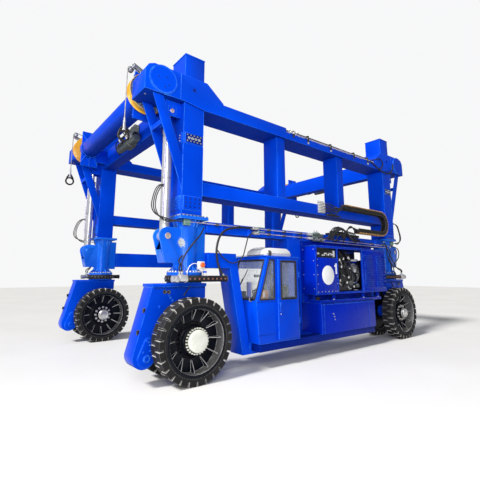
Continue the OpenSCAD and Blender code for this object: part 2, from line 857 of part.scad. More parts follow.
// Cab: a hollow shell with a floor, window holes and a door opening
module cab_shell() {
    far = cab_y0 + cab_d;
    color(blue)
        translate([0, -side_y, 0]) {
            difference() {
                slab(cab_y0, far) polygon(cab_outline(0, deck_z));
                slab(cab_y0 + cab_wall, far - cab_wall) polygon(cab_outline(cab_wall, deck_z + floor_t));
                // Windscreen and rear window
                block([cab_sill_x - 50, cab_y0 + 60, window_z0], [cab_roof_x + 60, far - 60, window_z1]);
                block([cab_rear - cab_wall - 20, cab_y0 + 60, window_z0], [cab_rear + 1, far - 60, window_z1]);
                // Quarter window on the outer side, long window on the inner side
                slab(cab_y0 - 1, cab_y0 + cab_wall + 1) polygon(quarter_window());
                slab(far - cab_wall - 1, far + 1) polygon(inner_window());
                block([door_x0 + 25, cab_y0 - 1, door_z0 + 20], [door_x1 - 25, cab_y0 + cab_wall + 1, door_z1 - 25]);
            }
            // Hinge brackets beside the door
            for (z = hinge_heights) {
                for (dz = [-knuckle_h / 2 - 25, knuckle_h / 2 + clear_gap])
                    translate([0, 0, z + dz]) {
                        block([hinge_x + 6, hinge_y - 10, 0], [hinge_x + 32, cab_y0, 20]);
                        translate([hinge_x, hinge_y, 0]) cylinder(r = hinge_r - 3, h = 20);
                    }
                translate([hinge_x, hinge_y, z - knuckle_h / 2 - 25]) cylinder(r = hinge_pin_r, h = knuckle_h + 50);
            }
        }
}

function slope_x(z) = cab_sill_x + (cab_roof_x - cab_sill_x) * (z - cab_sill_z) / (cab_top - cab_sill_z);
function quarter_window() = [
    [slope_x(window_z0) + 75, window_z0], [slope_x(window_z1) + 75, window_z1],
    [door_x0 - 60, window_z1], [door_x0 - 60, window_z0]
];
function inner_window() = [
    [slope_x(window_z0) + 75, window_z0], [slope_x(window_z1) + 75, window_z1],
    [cab_rear - 70, window_z1], [cab_rear - 70, window_z0]
];

module cab_glass() {
    far = cab_y0 + cab_d;
    color("lightblue")
        translate([0, -side_y, 0]) {
            slab(cab_y0 + 60, far - 60)
                polygon([[slope_x(window_z0) + 15, window_z0], [slope_x(window_z1) + 15, window_z1],
                         [slope_x(window_z1) + 15 + glass_t, window_z1], [slope_x(window_z0) + 15 + glass_t, window_z0]]);
            block([cab_rear - 24, cab_y0 + 60, window_z0], [cab_rear - 24 + glass_t, far - 60, window_z1]);
            slab(cab_y0 + 16, cab_y0 + 16 + glass_t) polygon(quarter_window());
            slab(far - 24, far - 24 + glass_t) polygon(inner_window());
        }
}

// Rounded air unit on the roof
module cab_roof_unit() {
    color("white")
        translate([cab_roof_x + 40, -side_y, cab_top])
            slab(cab_y0 + air_unit_y[0], cab_y0 + air_unit_y[1])
                polygon(air_unit);
}

module operator_seat() {
    color("black")
        translate([0, -side_y, 0]) {
            block([seat_base_x[0], seat_base_y[0], deck_z + floor_t], [seat_base_x[1], seat_base_y[1], cushion_z0]);
            block([cushion_x[0], cushion_y[0], cushion_z0], [cushion_x[1], cushion_y[1], cushion_z0 + cushion_t]);
            slab(seat_back_y[0], seat_back_y[1])
                polygon([for (p = seat_back) p + [0, cushion_z0 + cushion_t]]);
        }
}

module cab_console() {
    color("dimgray")
        translate([0, -side_y, 0]) {
            slab(console_y[0], console_y[1])
                polygon([for (p = console) p + [0, deck_z + floor_t]]);
        }
}

// Rear view mirror on a bent arm beside the windscreen
module cab_mirror() {
    arm_z = cab_sill_z + 15;
    color("dimgray")
        translate([0, -side_y, 0]) {
            block([cab_sill_x - 60, cab_y0 + 70, mirror_z[0]], [cab_sill_x - 35, cab_y0 + 210, mirror_z[1]]);
            translate([cab_sill_x - 48, cab_y0 + 140, arm_z]) cylinder(r = mirror_arm_r, h = mirror_z[0] + 5 - arm_z);
            difference() {
                translate([cab_sill_x - 48, cab_y0 + 140, arm_z]) rotate([0, 90, 0])
                    cylinder(r = mirror_arm_r, h = 80);
                slab(cab_y0, cab_y0 + cab_d) polygon(cab_outline(0, deck_z));
            }
        }
}

module door_window() {
    polygon([[door_x0 + 75, window_z0], [door_x0 + 75, window_z1 - 20], [door_x1 - 75, window_z1 - 20],
             [door_x1 - 75, window_z0]]);
}

module cab_door() {
    color(blue)
        translate([0, -side_y, 0]) {
            difference() {
                union() {
                    block([door_x0, door_y1 - door_t, door_z0], [door_x1, door_y1, door_z1]);
                    for (z = hinge_heights) {
                        translate([hinge_x, hinge_y, z - knuckle_h / 2]) cylinder(r = hinge_r, h = knuckle_h);
                        block([door_x1 - 5, hinge_y - 8, z - knuckle_h / 2], [hinge_x, hinge_y + 8, z + knuckle_h / 2]);
                    }
                }
                slab(door_y1 - door_t - 1, door_y1 + 1) door_window();
                for (z = hinge_heights)
                    translate([hinge_x, hinge_y, z - knuckle_h]) cylinder(r = hinge_pin_r + run_gap, h = 2 * knuckle_h);
            }
            // Grab handle beside the front edge
            for (z = [1010, 1150])
                block([door_x0 + 28, door_y1 - door_t - 26, z], [door_x0 + 44, door_y1 - door_t, z + 16]);
            translate([door_x0 + 36, door_y1 - door_t - 20, 1000]) cylinder(r = 9, h = 176);
        }
}

module door_glass() {
    color("lightblue")
        translate([0, -side_y, 0]) slab(door_y1 - 22, door_y1 - 22 + glass_t) door_window();
}

// Roof, base and end panels of the power pack
module pack_housing() {
    color(blue)
        translate([0, -side_y, 0]) {
            for (z = [pack_z0, pack_z1 - 40])
                translate([0, 0, z]) linear_extrude(height = 40)
                    polygon([[pack_x0, pack_y0], [pack_x1, pack_y0], [pack_x1, pack_notch_y],
                             [pack_notch_x, pack_notch_y], [pack_notch_x, pack_y1], [pack_x0, pack_y1]]);
            block([pack_x0, pack_y0, pack_z0 + 40], [pack_x0 + panel_t, pack_y1, pack_z1 - 40]);
            block([pack_x1 - panel_t, pack_y0, pack_z0 + 40], [pack_x1, pack_notch_y, pack_z1 - 40]);
            block([bay_x0, pack_y0, pack_z0 + 40], [bay_x0 + 30, pack_y0 + 40, pack_z1 - 40]);
            block([bay_x1 - 30, pack_y0, pack_z0 + 40], [bay_x1, pack_y0 + 40, pack_z1 - 40]);
            block([pack_x0, pack_y1 - 40, pack_z0 + 40], [pack_x0 + 40, pack_y1, pack_z1 - 40]);
            block([pack_notch_x - 40, pack_y1 - 40, pack_z0 + 40], [pack_notch_x, pack_y1, pack_z1 - 40]);
        }
}

module pack_panel() {
    color(blue)
        translate([0, -side_y, 0])
            block([pack_x0 + panel_t, pack_y0, pack_z0 + 40], [bay_x0, pack_y0 + panel_t, strip_z]);
}

// Two side panels with louvre blades
module pack_louvres() {
    split = (bay_x1 + pack_x1) / 2;
    x_ends = [[bay_x1, split - 10], [split + 10, pack_x1 - panel_t]];
    z0 = pack_z0 + 40;
    z1 = pack_z1 - 40;
    pitch = (z1 - z0 - 160) / louvres;
    color(blue)
        translate([0, -side_y, 0]) {
            block([split - 10, pack_y0, z0], [split + 10, pack_y0 + panel_t, z1]);
            for (e = x_ends) {
                block([e[0], pack_y0, z0], [e[1], pack_y0 + panel_t, z1]);
                for (k = [0 : louvres - 1])
                    translate([e[0] + 90, 0, z0 + 80 + k * pitch])
                        rotate([90, 0, 90])
                            linear_extrude(height = e[1] - e[0] - 180)
                                polygon([[pack_y0 + 2, 0], [pack_y0 - 14, 0], [pack_y0 + 2, pitch * 0.8]]);
            }
        }
}

// Engine seen through the open bay
module engine() {
    z0 = pack_z0 + 40;
    color("dimgray")
        translate([0, -side_y, 0]) {
            block([bay_x0 + 60, -400, z0], [bay_x1 - 420, -140, z0 + 560]);
            block([bay_x0 + 120, -360, z0 + 560], [bay_x1 - 480, -200, z0 + 700]);
            translate([bay_x1 - 420, -270, z0 + 330]) rotate([0, 90, 0]) cylinder(r = 185, h = 90);
            translate([bay_x1 - 330, -270, z0 + 330]) rotate([0, 90, 0]) cylinder(r = 120, h = 200);
            block([bay_x1 - 430, -330, z0], [bay_x1 - 200, -210, z0 + 150]);
        }
}

// Conical mounts under the power pack, on a shelf over the tank
module pack_feet() {
    color(blue)
        translate([0, -side_y, 0]) {
            translate([0, 0, shelf_z0]) linear_extrude(height = shelf_z1 - shelf_z0)
                polygon([[tank_x0, pack_y0 + 20], [shelf_x[1], pack_y0 + 20], [shelf_x[1], pack_notch_y],
                         [shelf_x[0], pack_notch_y], [shelf_x[0], frame_y1], [tank_x0, frame_y1]]);
            block([tank_x0, pack_y1 - 190, shelf_z1], [shelf_x[0] - 20, pack_y1 - 150, pack_z0]);
            for (x = front_feet_x)
                translate([x, pack_y0 + 90, shelf_z1]) cylinder(r1 = foot_r[0], r2 = foot_r[1], h = pack_z0 - shelf_z1);
            for (x = back_feet_x)
                translate([x, pack_y1 - 60, shelf_z1]) cylinder(r1 = foot_r[0], r2 = foot_r[1], h = pack_z0 - shelf_z1);
        }
}

module fuel_tank() {
    color(blue)
        translate([0, -side_y, 0]) block([tank_x0, pack_y0, deck_z], [tank_x1, frame_y1, shelf_z0]);
}

module side_skirt() {
    color(dark_blue)
        translate([0, -side_y, 0])
            block([cab_foot_x + 20, cab_y0 + 10, leg_bottom + 60], [tank_x1, frame_y0, deck_z]);
}

for (s = [-1, 1]) corner(s, -1) post();  // near_posts
for (s = [-1, 1]) corner(s, 1) post();  // far_posts
all_corners() inner_mast();  // inner_masts
all_corners() lift_barrel();  // lift_barrels
all_corners() slew_drive();  // slew_drives
all_corners() steer_motor();  // steer_motors
near_frame();
near_rail();
far_sill();
cab_shell();
cab_glass();
cab_roof_unit();
operator_seat();
cab_console();
cab_mirror();
cab_door();
door_glass();
pack_housing();
pack_panel();
pack_louvres();
engine();
pack_feet();
fuel_tank();
side_skirt();
corner(-1, -1) fork();  // fork_near_left
corner(1, -1) fork();  // fork_near_right
corner(-1, 1) fork();  // fork_far_left
corner(1, 1) fork();  // fork_far_right
corner(-1, -1) rim_pair(capped = true);  // rims_near_left
corner(1, -1) rim_pair();  // rims_near_right
corner(-1, 1) rim_pair();  // rims_far_left
corner(1, 1) rim_pair();  // rims_far_right
corner(-1, -1) tyre_pair();  // tyres_near_left
corner(1, -1) tyre_pair();  // tyres_near_right
corner(-1, 1) tyre_pair();  // tyres_far_left
corner(1, 1) tyre_pair();  // tyres_far_right
all_corners() column();  // columns
translate([0, -side_y, 0]) top_beam();  // near_beam
mirror([0, 1, 0]) translate([0, -side_y, 0]) top_beam();  // far_beam
sides() translate([0, -side_y, 0]) low_beam();  // low_beams
sides() ends() translate([0, -side_y, 0]) mid_post();  // mid_posts
ends() cross_girder();  // cross_girders
all_corners() head_brace();  // head_braces
all_corners() lift_ram();  // lift_rams
sides() ends() rope_roller();  // rope_rollers
sides() ends() drum_bracket();  // drum_brackets
ends() winch_drive();  // winch_drives
energy_chain();
sides() ends() hoist_rope();  // hoist_ropes
sides() ends() rope_socket();  // rope_sockets
drum_tube();  // drum_tube_left
mirror([1, 0, 0]) drum_tube();  // drum_tube_right
sides() reel();  // reels_left
mirror([1, 0, 0]) sides() reel();  // reels_right
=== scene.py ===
import json
import math
import bpy
from mathutils import Matrix, Vector

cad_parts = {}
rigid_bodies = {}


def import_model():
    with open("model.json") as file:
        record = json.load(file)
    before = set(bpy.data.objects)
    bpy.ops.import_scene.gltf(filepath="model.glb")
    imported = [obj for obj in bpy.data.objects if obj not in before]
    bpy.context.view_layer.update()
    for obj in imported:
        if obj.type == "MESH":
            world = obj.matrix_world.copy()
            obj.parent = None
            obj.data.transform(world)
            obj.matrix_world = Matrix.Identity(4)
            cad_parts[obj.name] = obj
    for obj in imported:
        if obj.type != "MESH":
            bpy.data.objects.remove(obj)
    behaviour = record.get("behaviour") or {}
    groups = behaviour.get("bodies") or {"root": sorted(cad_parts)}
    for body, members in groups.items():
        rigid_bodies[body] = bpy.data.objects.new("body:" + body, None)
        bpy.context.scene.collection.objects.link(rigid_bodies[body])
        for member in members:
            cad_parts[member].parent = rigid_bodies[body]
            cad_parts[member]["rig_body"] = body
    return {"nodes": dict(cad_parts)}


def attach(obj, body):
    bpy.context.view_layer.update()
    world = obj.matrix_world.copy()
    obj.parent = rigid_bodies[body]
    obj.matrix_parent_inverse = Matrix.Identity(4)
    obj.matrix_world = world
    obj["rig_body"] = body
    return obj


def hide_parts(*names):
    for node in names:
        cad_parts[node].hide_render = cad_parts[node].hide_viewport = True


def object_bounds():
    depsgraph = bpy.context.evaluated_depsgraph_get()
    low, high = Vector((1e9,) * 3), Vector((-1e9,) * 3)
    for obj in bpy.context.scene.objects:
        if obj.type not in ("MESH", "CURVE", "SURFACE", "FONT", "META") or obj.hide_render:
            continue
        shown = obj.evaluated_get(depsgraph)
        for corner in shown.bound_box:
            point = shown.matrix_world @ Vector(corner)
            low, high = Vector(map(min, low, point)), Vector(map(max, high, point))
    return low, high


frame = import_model()
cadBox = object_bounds()
print("frame loaded")

# Metres throughout: X is the travel direction, Z is up
layout = {
    "postX": 3.29, "sideY": 2.33, "axleZ": 0.66984, "twinHalf": 0.36, "drumX": 3.96, "drumZ": 5.02,
    "ropeX": 4.3603, "ropeY": 1.945,
}
corners = {
    "near_left": (-1, -1), "near_right": (1, -1), "far_left": (-1, 1), "far_right": (1, 1),
}


# Camera, light and floor

viewValues = {
    "place": (-6.353, -7.754, 1.719), "heading": 51.6, "pitch": 10.06, "lens": 26.12, "shiftY": -0.0583,
}


def setCamera():
    v = viewValues
    turn = (math.radians(90 + v["pitch"]), 0, math.radians(v["heading"] - 90))
    bpy.ops.object.camera_add(location=v["place"], rotation=turn)
    camera = bpy.context.object
    camera.name = "photoCamera"
    camera.data.lens = v["lens"]
    camera.data.shift_y = v["shiftY"]
    camera.data.clip_end = 200
    bpy.context.scene.camera = camera


lightValues = {
    "sunPlace": (-8, -6, 10), "sunTurn": (42, -14, -71), "sunPower": 3.7, "sunAngle": 10,
    "sunColour": (1.0, 0.985, 0.96), "frontPlace": (-8.5, -9.5, 5.0), "frontAim": (-2.5, -1.0, 2.0),
    "frontPower": 640, "frontSize": 5, "roomColour": (0.86, 0.90, 0.96), "roomPower": 0.26,
    "backColour": (0.93, 0.935, 0.94),
}


def setLights():
    v = lightValues
    bpy.ops.object.light_add(type="SUN", location=v["sunPlace"], rotation=[math.radians(a) for a in v["sunTurn"]])
    sun = bpy.context.object
    sun.name = "hallDaylight"
    sun.data.energy = v["sunPower"]
    sun.data.angle = math.radians(v["sunAngle"])
    sun.data.color = v["sunColour"]
    bpy.ops.object.light_add(type="AREA", location=v["frontPlace"])
    front = bpy.context.object
    front.name = "frontSoftbox"
    front.data.energy = v["frontPower"]
    front.data.size = v["frontSize"]
    aim = Vector(v["frontAim"]) - Vector(v["frontPlace"])
    front.rotation_euler = aim.to_track_quat("-Z", "Y").to_euler()

    # The room's soft light, and a pale backdrop that only the camera sees
    world = bpy.data.worlds.new("studioWorld")
    bpy.context.scene.world = world
    world.use_nodes = True
    tree = world.node_tree
    tree.nodes.clear()
    mixShade = addNode(tree, "ShaderNodeMixShader")
    path = addNode(tree, "ShaderNodeLightPath")
    tree.links.new(path.outputs["Is Camera Ray"], mixShade.inputs["Fac"])
    for k, colour, power in ((1, v["roomColour"], v["roomPower"]), (2, v["backColour"], 1.0)):
        backdrop = addNode(tree, "ShaderNodeBackground")
        backdrop.inputs["Color"].default_value = (*colour, 1)
        backdrop.inputs["Strength"].default_value = power
        tree.links.new(backdrop.outputs[0], mixShade.inputs[k])
    out = addNode(tree, "ShaderNodeOutputWorld")
    tree.links.new(mixShade.outputs[0], out.inputs["Surface"])
    bpy.context.scene.view_settings.view_transform = "Standard"


# Shader nodes

def addNode(tree, kind, **settings):
    node = tree.nodes.new(kind)
    for key, value in settings.items():
        setattr(node, key, value)
    return node


def feed(tree, value, socket):
    # Links a socket to another, or sets it to a number or colour
    if isinstance(value, bpy.types.NodeSocket):
        tree.links.new(value, socket)
    else:
        socket.default_value = value


def addMath(tree, operation, a, b, clamp=False):
    node = addNode(tree, "ShaderNodeMath", operation=operation, use_clamp=clamp)
    feed(tree, a, node.inputs[0])
    feed(tree, b, node.inputs[1])
    return node.outputs[0]


def addMix(tree, factor, a, b):
    node = addNode(tree, "ShaderNodeMix", data_type="RGBA")
    for k, value in ((0, factor), (6, a), (7, b)):
        feed(tree, value, node.inputs[k])
    return node.outputs[2]


def addRamp(tree, value, span):
    node = addNode(tree, "ShaderNodeMapRange", clamp=True)
    for k, setting in enumerate((value, *span)):
        feed(tree, setting, node.inputs[k])
    return node.outputs[0]


def addNoise(tree, vector, scale, detail, rough):
    node = addNode(tree, "ShaderNodeTexNoise")
    for label, value in (("Vector", vector), ("Scale", scale), ("Detail", detail), ("Roughness", rough)):
        feed(tree, value, node.inputs[label])
    return node.outputs["Fac"]


surfaceValues = {
    # The edge values set where edges are marked; the mark is paint wear and a painted highlight together
    "fineness": 9.0, "toneSpan": (0.32, 0.68), "edgeRadius": 0.013, "edgeSpan": (0.008, 0.10),
    "wearAndHighlightSpan": (0.34, 0.56), "topSpan": (0.15, 0.95), "topDust": 0.8, "leastDust": 0.12, "patchSpan": (0.35, 0.70),
    # The under values and the dark colour after them paint shade on faces that point down
    "underSpan": (0.5, 0.95), "underShade": 0.78, "undersideShade": (0.0, 0.0, 0.004, 1), "undersideShadeShare": 0.80,
    "dustRough": 0.4, "fineRough": 0.25, "underRough": 0.6,
}
# Each socket of the group, and the recipe's word for it
colourInputs = {"Paint": "paint", "Shade": "shade", "Worn And Highlit": "wornAndHighlit", "Dust": "dustColour"}
numberInputs = {"Wear And Highlight Amount": "wearAndHighlight", "Dust Amount": "dust", "Roughness": "rough", "Pattern Scale": "scale",
                "Bump Depth": "bump", "Bump Scale": "grain"}


def wornSurfaceGroup():
    # Tone drift, edge wear mixed with painted edge highlights, settled dust, painted shade on faces that point down,
    # and fine bump
    s = surfaceValues
    group = bpy.data.node_groups.new("wornSurface", "ShaderNodeTree")
    for way, kind, labels in (("INPUT", "Color", colourInputs), ("INPUT", "Float", numberInputs),
                              ("OUTPUT", "Color", ("Color",)), ("OUTPUT", "Float", ("Roughness",)),
                              ("OUTPUT", "Vector", ("Normal",))):
        for label in labels:
            group.interface.new_socket(name=label, in_out=way, socket_type="NodeSocket" + kind)
    given = addNode(group, "NodeGroupInput").outputs
    leave = addNode(group, "NodeGroupOutput").inputs

    def times(a, b, clamp=False):
        return addMath(group, "MULTIPLY", a, b, clamp)

    def plus(a, b, clamp=False):
        return addMath(group, "ADD", a, b, clamp)

    place = addNode(group, "ShaderNodeTexCoord").outputs["Object"]
    fineScale = times(given["Pattern Scale"], s["fineness"])
    broad = addNoise(group, place, given["Pattern Scale"], 3.0, 0.5)
    fine = addNoise(group, place, fineScale, 5.0, 0.65)
    tone = addMix(group, addRamp(group, broad, s["toneSpan"]), given["Shade"], given["Paint"])

    surface = addNode(group, "ShaderNodeNewGeometry")
    rounded = addNode(group, "ShaderNodeBevel", samples=3)
    rounded.inputs["Radius"].default_value = s["edgeRadius"]
    dot = addNode(group, "ShaderNodeVectorMath", operation="DOT_PRODUCT")
    group.links.new(rounded.outputs["Normal"], dot.inputs[0])
    group.links.new(surface.outputs["Normal"], dot.inputs[1])
    edge = addRamp(group, addMath(group, "SUBTRACT", 1.0, dot.outputs["Value"]), s["edgeSpan"])
    # Edge marks: paint worn off the edges, lightened further as a painted highlight along them
    wearAndHighlight = times(times(edge, addRamp(group, fine, s["wearAndHighlightSpan"])), given["Wear And Highlight Amount"], True)
    wornAndHighlit = addMix(group, wearAndHighlight, tone, given["Worn And Highlit"])

    split = addNode(group, "ShaderNodeSeparateXYZ")
    group.links.new(surface.outputs["Normal"], split.inputs[0])
    film = plus(times(addRamp(group, split.outputs["Z"], s["topSpan"]), s["topDust"]), s["leastDust"])
    patchy = addRamp(group, addNoise(group, place, fineScale, 6.0, 0.7), s["patchSpan"])
    dust = times(times(film, patchy), given["Dust Amount"], True)
    dusty = addMix(group, dust, wornAndHighlit, given["Dust"])
    # Painted shade: faces that point down are darkened towards a dark blue mixed from the Shade colour
    under = times(addRamp(group, times(split.outputs["Z"], -1.0), s["underSpan"]), s["underShade"])
    undersideShade = addMix(group, s["undersideShadeShare"], given["Shade"], s["undersideShade"])
    group.links.new(addMix(group, under, dusty, undersideShade), leave["Color"])

    rough = plus(given["Roughness"], times(dust, s["dustRough"]))
    rough = plus(rough, times(addMath(group, "SUBTRACT", fine, 0.5), s["fineRough"]))
    group.links.new(plus(rough, times(under, s["underRough"]), True), leave["Roughness"])
    bump = addNode(group, "ShaderNodeBump")
    bump.inputs["Strength"].default_value = 1.0
    group.links.new(given["Bump Depth"], bump.inputs["Distance"])
    group.links.new(addNoise(group, place, given["Bump Scale"], 4.0, 0.5), bump.inputs["Height"])
    group.links.new(bump.outputs["Normal"], leave["Normal"])
    return group


# Each finish: colours and amounts for the worn surface; one number stands for a grey
plainFinish = {
    "wornAndHighlit": (0.35, 0.36, 0.38), "dustColour": (0.42, 0.41, 0.39), "wearAndHighlight": 0.5, "dust": 0.25, "rough": 0.4,
    "scale": 1.2, "bump": 0.0006, "grain": 45, "metal": 0, "coat": 0, "coatRough": 0.12, "gloss": 0.5, "tint": 1,
    "sheen": 0,
}
finishes = {
    # The light blue at the edges of the blue paints is a painted highlight as well as wear
    "bluePaint": dict(paint=(0.0006, 0.068, 0.77), shade=(0.0003, 0.044, 0.57), wornAndHighlit=(0.07, 0.34, 0.92), wearAndHighlight=0.9,
                      dust=0.08, dustColour=(0.015, 0.12, 0.63), rough=0.32, gloss=0.16, tint=(0.06, 0.32, 1),
                      scale=0.7, grain=30, bump=0.0008),
    # A glossier, lighter cyan copy of the blue paint for the round posts; the lighter colour is partly a painted
    # highlight
    "postPaintAndHighlight": dict(paint=(0.006, 0.15, 0.84), shade=(0.001, 0.095, 0.7), wornAndHighlit=(0.12, 0.45, 0.92), wearAndHighlight=0.9,
                      dust=0.08, dustColour=(0.02, 0.16, 0.7), rough=0.3, coat=0.25, coatRough=0.18, gloss=0.3,
                      tint=(0.3, 0.6, 1), scale=1.4, grain=30, bump=0.0008, scuff=(-3.44, -2.46, 2.245)),
    # A darker copy of the blue paint for the power pack and tank: painted shade
    "packShadedBluePaint": dict(paint=(0.0006, 0.02, 0.48), shade=(0.0003, 0.014, 0.35), wornAndHighlit=(0.065, 0.303, 0.92),
                          wearAndHighlight=0.7, dust=0.06, dustColour=(0.015, 0.075, 0.45), rough=0.3, gloss=0.16,
                          tint=(0.06, 0.32, 1), scale=0.7, grain=30),
    "deepBluePaint": dict(paint=(0.0006, 0.015, 0.255), shade=(0.0004, 0.009, 0.15), wornAndHighlit=(0.045, 0.12, 0.45),
                          dustColour=(0.03, 0.06, 0.15), rough=0.48, gloss=0.12, tint=(0.1, 0.3, 1), scale=1),
    "mastPaint": dict(paint=(0.0015, 0.039, 0.51), shade=(0.006, 0.018, 0.15), wearAndHighlight=0.7, dust=0.1, rough=0.3,
                      coat=0.35, gloss=0.3, scale=3),
    "yellowPaint": dict(paint=(0.9, 0.52, 0.02), shade=(0.75, 0.32, 0.01), wornAndHighlit=(0.45, 0.4, 0.32), wearAndHighlight=0.8,
                        dust=0.15, rough=0.35, coat=0.4, scale=2.2),
    "webGrey": dict(paint=(0.45, 0.48, 0.51), shade=(0.255, 0.285, 0.315), wornAndHighlit=0.9, rough=0.42, metal=0.35, scale=4),
    "blackPaint": dict(paint=(0.006, 0.0075, 0.013), shade=(0.003, 0.0045, 0.009), wornAndHighlit=(0.08, 0.08, 0.088),
                       wearAndHighlight=0.4, dust=0.06, dustColour=0.09, rough=0.32, gloss=0.1, scale=3),
    # The barrels' mid grey, lighter than the black rims, with heavy dust on their up-facing lower half, is partly
    # dust and partly painted light
    "barrelGrey": dict(paint=(0.15, 0.15, 0.158), shade=(0.045, 0.045, 0.053), wornAndHighlit=0.9, wearAndHighlight=0.9, dust=0.8,
                       dustColour=(0.36, 0.352, 0.33), rough=0.5, scale=2),
    # The light grey of the rim ribs' outer faces is a painted highlight
    "ribHighlightGrey": dict(paint=0.6, shade=(0.36, 0.36, 0.37), wornAndHighlit=0.92, metal=0.3, scale=4),
    "blackCasting": dict(paint=(0.012, 0.012, 0.015), shade=(0.006, 0.006, 0.0075), wornAndHighlit=(0.375, 0.375, 0.39),
                         wearAndHighlight=0.8, dust=0.12, gloss=0.2, rough=0.5, scale=6, bump=0.002, grain=90),
    "silverPaint": dict(paint=(0.62, 0.63, 0.65), shade=(0.5, 0.51, 0.54), wornAndHighlit=(0.3, 0.29, 0.28), dust=0.2,
                        rough=0.32, metal=0.55, scale=2.5),
    "boltSteel": dict(paint=0.74, shade=(0.52, 0.51, 0.5), wornAndHighlit=0.85, dust=0.3, rough=0.3, metal=0.85, scale=9),
    "chromeRod": dict(paint=(0.82, 0.83, 0.85), shade=(0.74, 0.75, 0.78), wornAndHighlit=0.9, dust=0.06, rough=0.09, metal=1,
                      scale=5, bump=0.0001),
    "creamCap": dict(paint=(0.78, 0.795, 0.72), shade=(0.63, 0.645, 0.57), wornAndHighlit=(0.75, 0.69, 0.57), dust=0.3,
                     dustColour=(0.75, 0.705, 0.6), rough=0.45, scale=6),
    "pinkPin": dict(paint=(0.72, 0.58, 0.54), shade=(0.58, 0.45, 0.42), wornAndHighlit=(0.85, 0.8, 0.78), dust=0.1, rough=0.3,
                    metal=0.6, scale=14),
    "redTint": dict(paint=(0.45, 0.06, 0.04), shade=(0.3, 0.16, 0.1), dust=0.2, rough=0.35, metal=0.4, scale=12),
    "oilyBlack": dict(paint=(0.009, 0.009, 0.011), shade=(0.018, 0.018, 0.021), wornAndHighlit=(0.45, 0.45, 0.48), wearAndHighlight=0.8,
                      dust=0.08, rough=0.34, gloss=0.3, scale=7, bump=0.0015),
    "bareSheet": dict(paint=(0.72, 0.73, 0.75), shade=(0.55, 0.56, 0.6), wornAndHighlit=0.3, dust=0.15, rough=0.22, metal=0.9,
                      scale=5),
    "hoseRubber": dict(paint=(0.015, 0.015, 0.018), shade=(0.009, 0.009, 0.011), wornAndHighlit=0.15, dust=0.12, gloss=0.25,
                       rough=0.5, scale=8, grain=160),
    "sealRubber": dict(paint=(0.012, 0.012, 0.013), shade=(0.018, 0.018, 0.019), wornAndHighlit=0.12, dust=0.1, gloss=0.2,
                       rough=0.6, scale=5),
    "pipeSteel": dict(paint=(0.75, 0.69, 0.9), shade=(0.51, 0.45, 0.66), wornAndHighlit=0.92, dust=0.15, rough=0.28,
                      metal=0.75, scale=4),
    "whitePlastic": dict(paint=(0.86, 0.86, 0.84), shade=(0.78, 0.78, 0.77), wornAndHighlit=(0.6, 0.58, 0.52), wearAndHighlight=0.3,
                         dustColour=(0.5, 0.47, 0.42), rough=0.32, coat=0.3, scale=3),
    "greyPlastic": dict(paint=(0.255, 0.27, 0.3), shade=(0.18, 0.195, 0.225), wornAndHighlit=(0.525, 0.525, 0.54), rough=0.5,
                        scale=6, grain=220, bump=0.0004),
    "darkPlastic": dict(paint=(0.03, 0.03, 0.033), shade=(0.021, 0.021, 0.024), wornAndHighlit=0.15, dust=0.2, rough=0.45,
                        scale=6, grain=260, bump=0.0004),
    "seatCloth": dict(paint=(0.053, 0.054, 0.06), shade=(0.033, 0.033, 0.039), wornAndHighlit=0.135, dust=0.15, rough=0.85,
                      scale=9, grain=420, bump=0.0012, sheen=0.4),
    "boxTan": dict(paint=(0.63, 0.3, 0.15), shade=(0.45, 0.195, 0.09), dust=0.1, rough=0.7, scale=7),
    "chainBlack": dict(paint=(0.011, 0.011, 0.012), shade=(0.015, 0.013, 0.012), wornAndHighlit=(0.18, 0.165, 0.15), wearAndHighlight=0.6,
                       dust=0.08, gloss=0.2, rough=0.42, scale=9),
    "chainAmber": dict(paint=(0.85, 0.46, 0.08), shade=(0.55, 0.24, 0.04), dust=0.2, scale=11),
    "ropeWire": dict(paint=0.51, shade=0.3, wornAndHighlit=0.9, dust=0.15, metal=0.7, scale=16),
    "forgedBlack": dict(paint=(0.009, 0.009, 0.011), shade=(0.018, 0.017, 0.015), wornAndHighlit=(0.45, 0.405, 0.33), wearAndHighlight=0.6,
                        gloss=0.3, dust=0.1, rough=0.36, metal=0.3, scale=10),
    "rollerGrey": dict(paint=(0.54, 0.555, 0.585), shade=(0.36, 0.375, 0.405), dust=0.2, rough=0.3, metal=0.8,
                       scale=9),
    "driveGrey": dict(paint=(0.09, 0.112, 0.112), shade=(0.045, 0.057, 0.057), wornAndHighlit=0.6, dust=0.3, rough=0.45,
                      scale=5, bump=0.0015),
    "markWhite": dict(paint=(0.92, 0.93, 0.94), shade=(0.86, 0.87, 0.89), wearAndHighlight=0.1, dust=0.12, scale=8),
    "stopOrange": dict(paint=(0.85, 0.16, 0.02), shade=(0.7, 0.1, 0.01), dust=0.1, rough=0.35, scale=20),
    "valveGreen": dict(paint=(0.15, 0.36, 0.285), shade=(0.075, 0.18, 0.15), wornAndHighlit=(0.9, 0.9, 0.825), wearAndHighlight=0.9,
                       dust=0.2, metal=0.3, scale=12),
    "tyreRubber": dict(paint=(0.02, 0.02, 0.022), shade=(0.011, 0.011, 0.012), wornAndHighlit=(0.16, 0.16, 0.155), wearAndHighlight=0.8,
                       dustColour=(0.1, 0.094, 0.086), rough=0.66, gloss=0.16, scale=4, grain=120, bump=0.0022),
    "slotDust": dict(paint=(0.62, 0.6, 0.56), shade=(0.3, 0.29, 0.27), wearAndHighlight=0.2, dust=0.4, rough=0.8, scale=8),
    "floorPale": dict(paint=(0.85, 0.84, 0.82), shade=(0.81, 0.8, 0.78), wearAndHighlight=0, dust=0, rough=0.6, scale=0.4),
}
scuffValues = {"reach": 0.16, "noiseShare": 1.6, "span": (1.34, 1.40),
               "primer": ((0.24, 0.30, 0.40, 1), (0.56, 0.55, 0.50, 1))}
